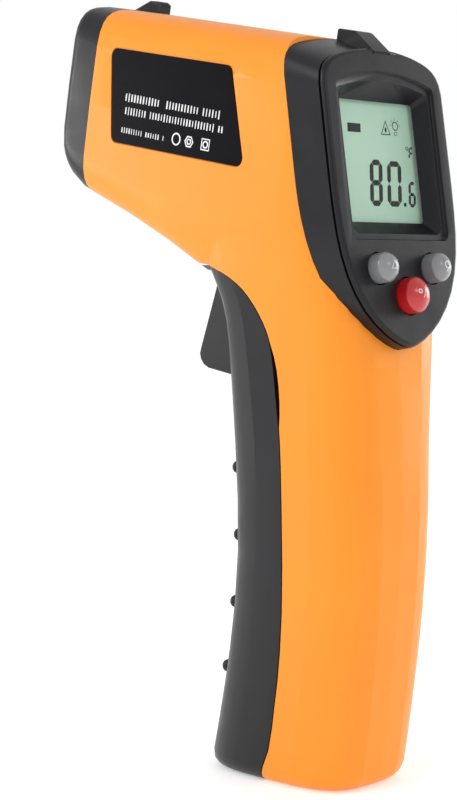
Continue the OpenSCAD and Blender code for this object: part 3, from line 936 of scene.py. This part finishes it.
def round_bars(shop: Workshop, name: str, finish: str, lines: list[list[Vector]],
               radius: float, sides: int) -> Piece:
    """Sweeps a round bar along each of a few lines.

    Args:
        shop: The workshop.
        name: The piece's name.
        finish: Its finish.
        lines: The points of each line, in metres.
        radius: The bar's radius.
        sides: Facets round the bar.

    Returns:
        The piece.
    """
    tree = GeometryTree(name, {"Radius": radius * MM, "Sides": sides})
    curve = tree.add("GeometryNodeMeshToCurve", {"Mesh": tree.given("Geometry")})
    ring = tree.add("GeometryNodeCurvePrimitiveCircle", {
        "Resolution": tree.given("Sides"), "Radius": tree.given("Radius")})
    bar = tree.add("GeometryNodeCurveToMesh", {
        "Curve": curve.outputs["Curve"], "Profile Curve": ring.outputs["Curve"],
        "Fill Caps": True})
    tree.close(bar.outputs["Mesh"], shop.palette.get(finish))
    piece = tree.run(shop, name, path_mesh(name, lines))
    piece.data.set_sharp_from_angle(angle=CUT_END)
    return piece


def helix(foot: Vector, r_low: float, r_high: float, height: float, turns: float,
          steps: int = 28) -> list[Vector]:
    """Winds a line round an upright axis.

    Args:
        foot: Lower end of the axis, in metres.
        r_low: Radius at the foot.
        r_high: Radius at the top.
        height: How far it climbs, or falls if less than 0.
        turns: How many turns it makes.
        steps: Points to the turn.

    Returns:
        The line's points.
    """
    count = int(turns * steps)
    line = []
    for i in range(count + 1):
        part = i / count
        radius = (r_low + (r_high - r_low) * part) * MM
        angle = math.tau * turns * part
        line.append(foot + Vector((
            radius * math.cos(angle), radius * math.sin(angle), height * part * MM)))
    return line


def smooth_route(knots: list[Vector], steps: int = 8) -> list[Vector]:
    """Runs a smooth line through a few points.

    Args:
        knots: The points.
        steps: Parts between two of them.

    Returns:
        The line's points.
    """
    line = []
    for i in range(len(knots) - 1):
        a, b = knots[i], knots[i + 1]
        ma = (b - knots[max(i - 1, 0)]) / 2
        mb = (knots[min(i + 2, len(knots) - 1)] - a) / 2
        for k in range(steps):
            t = k / steps
            bend = 3 * (b - a) - 2 * ma - mb + t * (2 * (a - b) + ma + mb)
            line.append(a + t * (ma + t * bend))
    return line + [knots[-1]]


# ---- sub-assemblies ----


@dataclass
class Assembly:
    """A group of pieces: the skins in its table, and what a kind of group adds to them."""

    shop: Workshop

    SKINS: ClassVar[tuple[Skin, ...]] = ()

    def build(self) -> None:
        """Builds the group."""
        for skin in self.SKINS:
            self.shop.dress(skin)


class Housing(Assembly):
    """Two shell halves, the nose cap, and the screws and pins that hold the parts."""

    SKINS = tuple(
        Skin(node, finish, slot, crease=28.0, bevel=bevel, beside=beside)
        for node, finish, slot, bevel, beside in (
            ("left_shell", "orange_shell", "orange_abs", 0.0, "display_bezel"),
            ("right_shell", "orange_shell", "orange_abs", 0.0, "display_bezel"),
            ("front_cap", "black_moulding", "black_abs", 0.0, ""),
            ("shell_screws", "zinc_steel", "steel", 0.12, ""),
            ("door_pin", "zinc_steel", "steel", 0.12, ""),
            ("trigger_pin", "zinc_steel", "steel", 0.12, ""),
        ))


class SegmentDisplay(Assembly):
    """What the liquid crystal shows: leaning seven-segment figures and small signs."""

    SURFACE = -4.79
    THICK = 0.02
    LEAN = 0.137
    GAP = 0.06
    SEGMENTS = {"0": "abcdef", "6": "acdefg", "8": "abcdefg", "F": "aefg"}
    # Figure, lower left corner, width, height and stroke
    FIGURES = (
        ("8", (-2.85, -7.8), 3.95, 9.4, 1.15),
        ("0", (2.6, -7.8), 4.5, 9.3, 1.15),
        ("6", (9.35, -7.8), 2.3, 5.3, 0.72),
        ("F", (11.0, 2.05), 1.45, 2.6, 0.44),
    )
    # The point, the cell sign and the stroke inside the warning triangle
    PATCHES = (
        ((7.75, -7.7), (8.6, -7.7), (8.65, -6.95), (7.8, -6.95)),
        ((-7.4, 6.9), (-3.4, 6.9), (-3.2, 8.7), (-7.2, 8.7)),
        ((4.25, 7.35), (4.75, 7.35), (4.85, 8.3), (4.35, 8.3)),
    )
    BULB = (7.7, 8.75)
    # The degree sign, the triangle, and the lamp's bulb and foot, each with its stroke
    LOOPS = (
        (polygon((10.75, 4.3), 0.42, 16), 0.16),
        ([(2.9, 6.8), (6.0, 6.8), (4.75, 9.8)], 0.36),
        (polygon(BULB, 0.95, 20), 0.2),
        ([(7.2, 6.8), (8.0, 6.8), (8.1, 7.6), (7.3, 7.6)], 0.16),
    )
    RAYS = (6, 48, 90, 132, 174)
    RAY_CORNERS = ((1.2, 0.07), (1.2, -0.07), (1.6, -0.07), (1.6, 0.07))

    def add_patch(self, shape: Shape, corners: Iterable[Pair]) -> None:
        """Adds a filled patch of ink on the glass.

        Args:
            shape: Where it goes.
            corners: Its corners on the display face.
        """
        add_slab(shape, [FACE.point(x, up, self.SURFACE) for x, up in corners], self.lift())

    def lift(self) -> Vector:
        """Returns the way from the lower to the upper face of the ink."""
        return FACE.point(0, 0, self.SURFACE + self.THICK) - FACE.point(0, 0, self.SURFACE)

    def add_bar(self, shape: Shape, a: Pair, b: Pair, width: float, origin: Pair) -> None:
        """Adds one segment with mitred ends, leaning as the figures do.

        Args:
            shape: Where it goes.
            a: One end.
            b: The other end.
            width: The segment's width.
            origin: Lower left corner of the figure.
        """
        dx, dy = b[0] - a[0], b[1] - a[1]
        length = math.hypot(dx, dy)
        ux, uy = dx / length, dy / length
        gap, half = self.GAP, width / 2
        corners = [
            (gap, 0), (gap + half, half), (length - gap - half, half),
            (length - gap, 0), (length - gap - half, -half), (gap + half, -half),
        ]
        outline = []
        for along, across in corners:
            x, y = a[0] + ux * along - uy * across, a[1] + uy * along + ux * across
            outline.append((origin[0] + x + y * self.LEAN, origin[1] + y))
        self.add_patch(shape, outline)

    def add_figure(self, shape: Shape, sign: str, origin: Pair, width: float, height: float,
                   stroke: float) -> None:
        """Adds one seven-segment figure.

        Args:
            shape: Where it goes.
            sign: Which figure.
            origin: Its lower left corner.
            width: Its width.
            height: Its height.
            stroke: Width of a segment.
        """
        low, mid, high = stroke / 2, height / 2, height - stroke / 2
        left, right = stroke / 2, width - stroke / 2
        ends = {
            "a": ((left, high), (right, high)),
            "b": ((right, high), (right, mid)),
            "c": ((right, mid), (right, low)),
            "d": ((left, low), (right, low)),
            "e": ((left, mid), (left, low)),
            "f": ((left, high), (left, mid)),
            "g": ((left, mid), (right, mid)),
        }
        for key in self.SEGMENTS[sign]:
            self.add_bar(shape, *ends[key], stroke, origin)

    def add_loop(self, shape: Shape, points: list[Pair], stroke: float) -> None:
        """Adds a closed outline of even width, drawn in towards its middle.

        Args:
            shape: Where it goes.
            points: Its outer corners.
            stroke: Its width.
        """
        cx = sum(p[0] for p in points) / len(points)
        cy = sum(p[1] for p in points) / len(points)
        reach = sum(math.hypot(p[0] - cx, p[1] - cy) for p in points) / len(points)
        keep = 1.0 - stroke / reach
        inner = [(cx + (x - cx) * keep, cy + (y - cy) * keep) for x, y in points]
        outer_row, inner_row = (
            [FACE.point(x, up, self.SURFACE) for x, up in row] for row in (points, inner))
        add_ring(shape, outer_row, inner_row, self.lift())

    def build(self) -> None:
        """Builds the reading and the signs."""
        shape = bmesh.new()
        for figure in self.FIGURES:
            self.add_figure(shape, *figure)
        for corners in self.PATCHES:
            self.add_patch(shape, corners)
        for points, stroke in self.LOOPS:
            self.add_loop(shape, points, stroke)
        for turn in self.RAYS:
            cos, sin = math.cos(math.radians(turn)), math.sin(math.radians(turn))
            self.add_patch(shape, [
                (self.BULB[0] + reach * cos - side * sin, self.BULB[1] + reach * sin + side * cos)
                for reach, side in self.RAY_CORNERS])
        piece = self.shop.from_shape("display_figures", shape, "segment_ink")
        self.shop.place(piece, Body.HOUSING, "label_film")


class DisplayUnit(Assembly):
    """Bezel, window, liquid crystal, its frame, light and contact strip, and the main board."""

    SKINS = (Skin("display_bezel", "black_moulding", "black_abs"),) + tuple(
        Skin(node, finish, slot, bevel=0.08) for node, finish, slot in (
            ("display_window", "clear_acrylic", "clear_acrylic"),
            ("lcd_glass", "liquid_crystal", "lcd"),
            ("lcd_frame", "white_plastic", "white_plastic"),
            ("backlight_plate", "white_plastic", "white_plastic"),
            ("zebra_strip", "dark_rubber", "dark_rubber"),
            ("main_board", "circuit_board", "circuit_board"),
            ("board_screws", "zinc_steel", "steel"),
            ("button_switches", "dark_plastic", "dark_plastic"),
        ))

    def build(self) -> None:
        """Builds the unit and what it shows."""
        super().build()
        SegmentDisplay(self.shop).build()


def stepped_outline(sides: int, reach: float) -> list[Pair]:
    """Walks round a regular outline that points up, in short steps.

    Args:
        sides: How many corners it has.
        reach: Radius of its corners.

    Returns:
        The outline's points.
    """
    tips = polygon((0.0, 0.0), reach, sides, math.pi / 2)
    steps = max(24 // sides, 1)
    path = []
    for k, (x, y) in enumerate(tips):
        nx, ny = tips[(k + 1) % sides]
        path.extend((x + (nx - x) * i / steps, y + (ny - y) * i / steps) for i in range(steps))
    return path


@dataclass(frozen=True)
class KeySign:
    """Print on one key.

    Attributes:
        name: The piece's name.
        body: The key that it rides on.
        place: The key's centre on the display face.
        radius: The key's radius.
        rings: Centre, reach and number of corners of each outline.
        slash: Whether a slanted stroke joins them.
    """

    name: str
    body: Body
    place: Pair
    radius: float
    rings: tuple[tuple[Pair, float, int], ...]
    slash: bool = False

    RISE: ClassVar[float] = 4.2
    DOME: ClassVar[float] = 2.0
    STROKE: ClassVar[float] = 0.24
    THICK: ClassVar[float] = 0.015

    def over(self, x: float, up: float, lift: float = 0.0) -> Vector:
        """Returns a place over the key's dome.

        Args:
            x: Sideways from the key's centre.
            up: Up the face from its centre.
            lift: Height over its skin.

        Returns:
            The place.
        """
        ball = (self.radius * self.radius + self.DOME * self.DOME) / (2 * self.DOME)
        out = self.RISE - ball + math.sqrt(ball * ball - x * x - up * up)
        return FACE.point(self.place[0] + x, self.place[1] + up, out + lift)

    def shape(self) -> Shape:
        """Builds the print.

        Returns:
            Its mesh, in metres.
        """
        shape = bmesh.new()
        top = self.over(0, 0, self.THICK) - self.over(0, 0)
        for centre, reach, sides in self.rings:
            outer, inner = (
                [self.over(centre[0] + x, centre[1] + up) for x, up in stepped_outline(sides, r)]
                for r in (reach, reach - self.STROKE))
            add_ring(shape, outer, inner, top)
        if self.slash:
            climb = [-0.8 + 0.2 * k for k in range(9)]
            edge = [(up * 0.4 - 0.13, up) for up in climb]
            edge += [(up * 0.4 + 0.13, up) for up in reversed(climb)]
            add_slab(shape, [self.over(x, up) for x, up in edge], top)
        return shape


class Keys(Assembly):
    """Two grey keys and a red one, each with the stem of its switch."""

    SKINS = tuple(
        Skin(node, finish, slot, body, 40.0, 0.1) for node, finish, slot, body in (
            ("laser_button", "grey_key", "grey_button", Body.LASER_KEY),
            ("backlight_button", "grey_key", "grey_button", Body.BACKLIGHT_KEY),
            ("unit_button", "red_key", "red_button", Body.UNIT_KEY),
            ("laser_plunger", "white_plastic", "white_plastic", Body.LASER_KEY),
            ("backlight_plunger", "white_plastic", "white_plastic", Body.BACKLIGHT_KEY),
            ("unit_plunger", "white_plastic", "white_plastic", Body.UNIT_KEY),
        ))
    SIGNS = (
        KeySign("laser_sign", Body.LASER_KEY, (-8.3, -21.1), 3.0, (((0.0, 0.0), 1.2, 3),)),
        KeySign("backlight_sign", Body.BACKLIGHT_KEY, (8.3, -21.1), 3.0,
                (((0.0, 0.2), 0.8, 20), ((0.0, -0.9), 0.4, 4))),
        KeySign("unit_sign", Body.UNIT_KEY, (0.0, -26.6), 3.6,
                (((-1.1, 0.5), 0.5, 16), ((1.1, 0.5), 0.5, 16)), True),
    )

    def build(self) -> None:
        """Builds the keys, their stems and their printed signs."""
        super().build()
        for sign in self.SIGNS:
            piece = self.shop.from_shape(sign.name, sign.shape(), "key_ink")
            self.shop.place(piece, sign.body, "grey_button")


@dataclass
class Label(Assembly):
    """Film label on one side of the head, with rows of plain printed strokes.

    Attributes:
        node: The label's frame node.
        film: Finish of the film; the record's slot has the same name.
        ink: Finish of the print.
        side: -1 on the left of the head, 1 on its right.
        rows: Start, end, height, stroke height and pitch of each row, along the head.
        marks: Centre, reach, number of corners and turn in degrees of each outlined shape.
    """

    node: str
    film: str
    ink: str
    side: float
    rows: tuple[tuple[float, float, float, float, float], ...]
    marks: tuple[tuple[Pair, float, int, float], ...]

    HALF_W: ClassVar[float] = 18.75
    INK: ClassVar[float] = 0.015
    MARK_STROKE: ClassVar[float] = 0.3
    FIRST_SEED: ClassVar[int] = 11
    HEIGHT_SEED: ClassVar[int] = 5
    WIDTHS: ClassVar[Pair] = (0.26, 0.5)
    HEIGHTS: ClassVar[Pair] = (0.72, 1.0)
    FILLED: ClassVar[float] = 0.87

    def strokes(self, count: int, pitch: float, tall: float, seed: int) -> GeometryTree:
        """Builds the node tree for one row of strokes of uneven width and height.

        Args:
            count: How many strokes there is room for.
            pitch: Distance between two of them.
            tall: Height of the tallest.
            seed: Seed of the row's randomness.

        Returns:
            The tree.
        """
        tree = GeometryTree("printed_row", {
            "Count": count, "Pitch": pitch * MM, "Height": tall * MM,
            "Thickness": self.INK * MM, "Seed": seed})
        spread = tree.add("ShaderNodeCombineXYZ", {"X": tree.given("Pitch")})
        line = tree.add("GeometryNodeMeshLine", {
            "Count": tree.given("Count"), "Offset": spread.outputs["Vector"]}, mode="OFFSET")
        widths = tree.add(
            "FunctionNodeRandomValue", {"Seed": tree.given("Seed")}, data_type="FLOAT")
        widths.inputs[2].default_value, widths.inputs[3].default_value = self.WIDTHS
        index = tree.add("GeometryNodeInputIndex")
        talls = tree.add("FunctionNodeRandomValue", {
            "ID": index.outputs["Index"], "Seed": self.HEIGHT_SEED}, data_type="FLOAT")
        talls.inputs[2].default_value, talls.inputs[3].default_value = self.HEIGHTS
        scale = tree.add("ShaderNodeCombineXYZ", {
            "X": widths.outputs[1], "Y": talls.outputs[1], "Z": 1.0})
        size = tree.add("ShaderNodeCombineXYZ", {
            "X": tree.given("Pitch"), "Y": tree.given("Height"), "Z": tree.given("Thickness")})
        block = tree.add("GeometryNodeMeshCube", {"Size": size.outputs["Vector"]})
        gaps = tree.add("FunctionNodeRandomValue", {
            "Seed": tree.given("Seed"), "Probability": self.FILLED}, data_type="BOOLEAN")
        placed = tree.add("GeometryNodeInstanceOnPoints", {
            "Points": line.outputs["Mesh"], "Selection": gaps.outputs[3],
            "Instance": block.outputs["Mesh"], "Scale": scale.outputs["Vector"]})
        tree.close(placed.outputs["Instances"], self.shop.palette.get(self.ink))
        return tree

    def print_row(self, number: int) -> None:
        """Prints one row of strokes on the film.

        Args:
            number: Which row, from 0.
        """
        start, end, up, tall, pitch = self.rows[number]
        tree = self.strokes(int(abs(end - start) / pitch), pitch, tall, self.FIRST_SEED + number)
        piece = tree.run(self.shop, f"{self.node}_print_{number + 1}")
        along = (head_point(0, end, 0) - head_point(0, start, 0)).normalized()
        upward = head_point(0, 0, 1).normalized()
        turn = Matrix((along, upward, Vector((self.side, 0, 0)))).transposed()
        first = start + math.copysign(pitch / 2, end - start)
        corner = head_point(self.side * (self.HALF_W + self.INK / 2), first, up)
        piece.data.transform(Matrix.Translation(corner) @ turn.to_4x4())
        if turn.determinant() < 0:
            piece.data.flip_normals()
        self.shop.place(piece, Body.HOUSING, self.film)

    def build(self) -> None:
        """Builds the film and its print."""
        self.shop.dress(Skin(self.node, self.film, self.film, crease=40.0, bevel=0.05))
        for number in range(len(self.rows)):
            self.print_row(number)
        shape = bmesh.new()
        for centre, reach, sides, turn in self.marks:
            outer, inner = (
                [head_point(self.side * self.HALF_W, along, up)
                 for along, up in polygon(centre, radius, sides, math.radians(turn))]
                for radius in (reach, reach - self.MARK_STROKE))
            add_ring(shape, outer, inner, Vector((self.side * self.INK * MM, 0, 0)))
        piece = self.shop.from_shape(self.node + "_marks", shape, self.ink)
        self.shop.place(piece, Body.HOUSING, self.film)


class TriggerGroup(Assembly):
    """Trigger, its return spring, switch and board."""

    SKINS = (
        Skin("trigger", "trigger_plastic", "trigger_black", Body.TRIGGER, bevel=0.7),
        Skin("trigger_plunger", "white_plastic", "white_plastic", Body.PLUNGER, bevel=0.2),
        Skin("trigger_switch", "dark_plastic", "dark_plastic", bevel=0.2),
        Skin("trigger_board", "circuit_board", "circuit_board", bevel=0.1),
    )
    RADIUS = 2.0
    WIRE = 0.3
    TURNS = 5.0
    FOOT = (0.0, 5.2, 113.3)
    TOP = 121.0
    PRESSED = 0.74

    def build(self) -> None:
        """Builds the group and its spring."""
        super().build()
        foot = (Vector(self.FOOT) + Vector((0, 0, self.WIRE))) * MM
        height = self.TOP - self.FOOT[2] - 2 * self.WIRE
        line = helix(foot, self.RADIUS, self.RADIUS, height, self.TURNS)
        coil = round_bars(self.shop, "trigger_coil", "spring_steel", [line], self.WIRE, 12)
        self.shop.place(coil, Body.HOUSING, "spring_steel", "trigger_spring")
        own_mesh(coil)


class BatteryBay(Assembly):
    """Battery door, the tray behind it, two cells and their contacts."""

    SKINS = (
        Skin("battery_door", "black_moulding", "black_abs", Body.DOOR, flowing=True),
        Skin("battery_tray", "dark_plastic", "dark_plastic", bevel=0.2),
        Skin("contact_plates", "nickel", "nickel", bevel=0.1),
    )
    CELL_SIDES = 56
    NUB = 0.9
    # The spans of a cell's profile that the film wraps
    WRAPPED = range(4, 10)
    WIRE = 0.35
    COIL_X = 5.6
    COIL_Y = 3.5
    COIL_RADII = (3.6, 2.4)
    COIL_GAP = 0.05
    CELL_ENDS = (23.0, 66.5)

    def profile(self, radius: float, length: float) -> list[Pair]:
        """Returns a cell's profile: radius and height from its flat end to its nub.

        Args:
            radius: The cell's radius, in metres.
            length: Its length with the nub, in metres.

        Returns:
            The profile's points, in metres.
        """
        can = length - self.NUB * MM
        flat = [(0.0, 0.25), (0.62, 0.25), (0.66, 0.0), (0.86, 0.0), (0.93, 0.12), (0.985, 0.3),
                (1.0, 0.6)]
        crimp = [(1.0, 0.6), (0.985, 0.3), (0.93, 0.1), (0.84, 0.02), (0.8, 0.25), (0.42, 0.25),
                 (0.4, 0.0)]
        nub = [(0.36, 0.2), (0.32, 0.0), (0.0, 0.0)]
        return ([(radius * r, h * MM) for r, h in flat]
                + [(radius * r, can - h * MM) for r, h in crimp]
                + [(radius * r, length - h * MM) for r, h in nub])

    def cell(self, node: str, up: bool) -> None:
        """Builds one cell: a wrapped can with a crimped top, a nub and bare ends.

        Args:
            node: The cell's frame node.
            up: Whether its nub points up.
        """
        low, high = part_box(node)
        middle = (low + high) / 2
        sides = self.CELL_SIDES
        shape = bmesh.new()
        rings = []
        for r, h in self.profile((high.x - low.x) / 2, high.z - low.z):
            z = low.z + h if up else high.z - h
            corners = polygon((middle.x, middle.y), r, sides) if r else [(middle.x, middle.y)]
            rings.append([shape.verts.new((x, y, z)) for x, y in corners])
        for index, (a, b) in enumerate(zip(rings, rings[1:])):
            for k in range(sides):
                n = (k + 1) % sides
                if len(a) == 1:
                    corners = [a[0], b[k], b[n]]
                elif len(b) == 1:
                    corners = [a[k], b[0], a[n]]
                else:
                    corners = [a[k], b[k], b[n], a[n]]
                face = shape.faces.new(corners)
                face.material_index = 0 if index in self.WRAPPED else 1
        ends = (low.z, high.z) if up else (high.z, low.z)
        wrap = CellWrap(node + "_film", *ends)
        self.shop.palette.learn(wrap)
        piece = self.shop.from_shape(node + "_can", shape, wrap.name, 40.0)
        piece.data.materials.append(self.shop.palette.get("nickel"))
        self.shop.place(piece, Body.HOUSING, "cell_wrap", node)

    def build(self) -> None:
        """Builds the bay."""
        super().build()
        low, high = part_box("contact_springs")
        wire, (bottom, top) = self.WIRE, self.CELL_ENDS
        spare = 2 * wire + self.COIL_GAP
        lines = [
            helix(Vector((x, self.COIL_Y, z)) * MM, *self.COIL_RADII, height, 2)
            for x, z, height in (
                (-self.COIL_X, low.z / MM + wire, bottom - low.z / MM - spare),
                (self.COIL_X, high.z / MM - wire, top - high.z / MM + spare),
            )]
        coils = round_bars(self.shop, "contact_coils", "spring_steel", lines, wire, 12)
        self.shop.place(coils, Body.HOUSING, "spring_steel", "contact_springs")
        self.cell("cell_1", True)
        self.cell("cell_2", False)


class Optics(Assembly):
    """Sight funnel with its lens and sensor, and the pointing laser."""

    SKINS = tuple(Skin(node, finish, slot, bevel=0.12) for node, finish, slot in (
        ("optics_bracket", "dark_plastic", "dark_plastic"),
        ("lens_funnel", "dark_plastic", "dark_plastic"),
        ("ir_lens", "coated_lens", "ir_glass"),
        ("thermopile", "nickel", "nickel"),
        ("sensor_board", "circuit_board", "circuit_board"),
        ("laser_module", "brass", "brass"),
    ))


class Wiring(Assembly):
    """Leads inside the housing."""

    BOARD_BACK = -11.2
    # Where the leads start along the head's axis and over it
    SENSOR = (45.5, 129.5)
    LASER = (52.4, 144.8)

    def behind(self, x: float, up: float, back: float) -> Vector:
        """Returns a place behind the main board.

        Args:
            x: Sideways.
            up: Up the display face.
            back: Distance behind the board.

        Returns:
            The place.
        """
        return FACE.point(x, up, self.BOARD_BACK - back)

    def battery_lead(self, side: float) -> list[Vector]:
        """Routes one lead from the battery tray up to the main board.

        Args:
            side: -1 for the left lead, 1 for the right one.

        Returns:
            The route.
        """
        rise = ((9.4, -4.2, 66.0), (9.4, -5.6, 74.0), (8.0, -8.0, 84.0))
        return smooth_route(
            [Vector((side * x, y, z)) * MM for x, y, z in rise]
            + [self.behind(side * 4, -24, 2.4), self.behind(side * 4, -22, 0.7)])

    def head_lead(self, x: float, start: Pair, dip: float, end: float) -> list[Vector]:
        """Routes one lead from the nose back to the main board.

        Args:
            x: Sideways.
            start: Where it starts, along the head's axis and over it.
            dip: How far it hangs on the way.
            end: Where it ends, up the display face.

        Returns:
            The route.
        """
        along, up = start
        return smooth_route([
            head_point(x, along, up), head_point(x, along - 8, up), head_point(x, 34, up - dip),
            self.behind(x, end, 5), self.behind(x, end, 0.7)])

    def build(self) -> None:
        """Builds the leads."""
        for node, finish, slot, lines, radius in (
            ("lead_red", "red_jacket", "red_wire", [self.battery_lead(-1)], 0.6),
            ("lead_black", "black_jacket", "black_wire", [self.battery_lead(1)], 0.6),
            ("sensor_leads", "white_jacket", "white_wire",
             [self.head_lead(x, self.SENSOR, 2, 2) for x in (-6, -4.4, 4.4, 6)], 0.5),
            ("laser_leads", "red_jacket", "red_wire",
             [self.head_lead(x, self.LASER, 8, 14) for x in (-1, 1)], 0.5),
        ):
            piece = round_bars(self.shop, node + "_jacket", finish, lines, radius, 16)
            self.shop.place(piece, Body.HOUSING, slot, node)


# ---- studio ----


@dataclass
class Studio:
    """Pale floor, soft lights and the camera. Lengths here are in metres, angles in degrees."""

    camera_at: Point = (-0.2925, -0.2594, 0.1047)
    camera_dip: float = 3.88
    camera_turn: float = -45.96
    lens: float = 84.74
    floor_glow: float = 0.34
    sky: float = 0.78
    aim: Point = (0.0, 0.01, 0.09)

    # Name, place, length of a side and watts of each soft light
    LIGHTS: ClassVar[tuple[tuple[str, Point, float, float], ...]] = (
        ("key", (-0.5, 0.1, 0.4), 0.22, 0.95),
        ("front_strip", (-0.28, 0.5, 0.16), 0.16, 0.6),
        ("right_fill", (0.62, -0.16, 0.2), 0.26, 1.3),
        ("back_strip", (-0.02, -0.6, 0.42), 0.1, 0.4),
    )

    def soft_box(self, name: str, at: Point, size: float, power: float) -> None:
        """Adds a square soft light that points at the middle of the scene.

        Args:
            name: Its name.
            at: Where it stands.
            size: Length of its side.
            power: Its power in watts.
        """
        data = bpy.data.lights.new(name, "AREA")
        data.energy, data.size = power, size
        lamp = bpy.data.objects.new(name, data)
        bpy.context.scene.collection.objects.link(lamp)
        lamp.location = at
        away = Vector(self.aim) - Vector(at)
        lamp.rotation_euler = away.to_track_quat("-Z", "Y").to_euler()

    def floor(self) -> None:
        """Adds a wide, flat, pale floor."""
        shape = bmesh.new()
        bmesh.ops.create_grid(shape, x_segments=2, y_segments=2, size=6.0)
        mesh = bpy.data.meshes.new("floor")
        shape.to_mesh(mesh)
        shape.free()
        graph = Graph("floor_paint")
        paint = [(NOISE_LOW, (0.86, 0.86, 0.86)), (NOISE_HIGH, (0.88, 0.88, 0.88))]
        graph.join(graph.ramp(graph.noise(2.0), paint), graph.shader.inputs["Base Color"])
        graph.set(Roughness=0.6, Specular_IOR_Level=0.2)
        graph.set(Emission_Color=(1.0, 1.0, 1.0, 1.0), Emission_Strength=self.floor_glow)
        mesh.materials.append(graph.material)
        ground = bpy.data.objects.new("floor", mesh)
        bpy.context.scene.collection.objects.link(ground)

    def world(self) -> bpy.types.World:
        """Makes a white world that lights the scene less than the camera sees of it.

        Returns:
            The world.
        """
        world = bpy.data.worlds.new("studio")
        world.use_nodes = True
        tree = world.node_tree
        background = tree.nodes["Background"]
        background.inputs["Color"].default_value = (1.0, 1.0, 1.0, 1.0)
        rays = tree.nodes.new("ShaderNodeLightPath")
        blend = tree.nodes.new("ShaderNodeMapRange")
        blend.inputs["To Min"].default_value = self.sky
        blend.inputs["To Max"].default_value = 1.0
        tree.links.new(rays.outputs["Is Camera Ray"], blend.inputs["Value"])
        tree.links.new(blend.outputs["Result"], background.inputs["Strength"])
        return world

    def build(self) -> None:
        """Builds the studio."""
        scene = bpy.context.scene
        scene.view_settings.view_transform = "Standard"
        scene.world = self.world()
        self.floor()
        for light in self.LIGHTS:
            self.soft_box(*light)
        data = bpy.data.cameras.new("camera")
        data.lens, data.sensor_width = self.lens, 36.0
        data.clip_start, data.clip_end = 0.01, 50.0
        camera = bpy.data.objects.new("camera", data)
        scene.collection.objects.link(camera)
        camera.location = self.camera_at
        pitch, heading = math.radians(90 - self.camera_dip), math.radians(self.camera_turn)
        camera.rotation_euler = (pitch, 0.0, heading)
        scene.camera = camera


def corners(box: tuple[Vector, Vector]) -> list[list[float]]:
    """Turns a box's corners into plain lists.

    Args:
        box: Its lowest and its highest corner.

    Returns:
        Both corners.
    """
    return [list(box[0]), list(box[1])]


def main() -> None:
    """Builds the thermometer and its studio."""
    logging.basicConfig(level=logging.INFO, format="%(message)s")
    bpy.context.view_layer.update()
    Studio().build()
    shop = Workshop(frame["nodes"], Palette())
    Housing(shop).build()
    DisplayUnit(shop).build()
    Keys(shop).build()
    Label(shop, "side_label", "label_film", "label_ink", -1.0, (
        (62.2, 31.7, 132.3, 1.8, 0.9),
        (61.8, 31.3, 129.5, 1.7, 0.85),
        (62.2, 48.4, 125.4, 1.25, 0.75),
    ), (
        ((45.2, 125.8), 1.3, 32, 0.0), ((41.4, 125.8), 1.3, 6, 0.0), ((41.4, 125.8), 0.7, 6, 0.0),
        ((36.6, 125.9), 1.7, 4, 45.0), ((36.6, 125.9), 0.8, 20, 0.0),
    )).build()
    Label(shop, "caution_label", "caution_film", "caution_ink", 1.0, (
        (39.0, 55.0, 131.5, 1.4, 0.85),
        (39.0, 55.0, 127.5, 0.9, 0.6),
        (39.0, 55.0, 125.5, 0.9, 0.6),
        (39.0, 50.0, 123.5, 0.9, 0.6),
    ), (
        ((52.0, 128.6), 2.0, 3, 90.0),
    )).build()
    TriggerGroup(shop).build()
    BatteryBay(shop).build()
    Optics(shop).build()
    Wiring(shop).build()


if __name__ == "__main__":
    main()
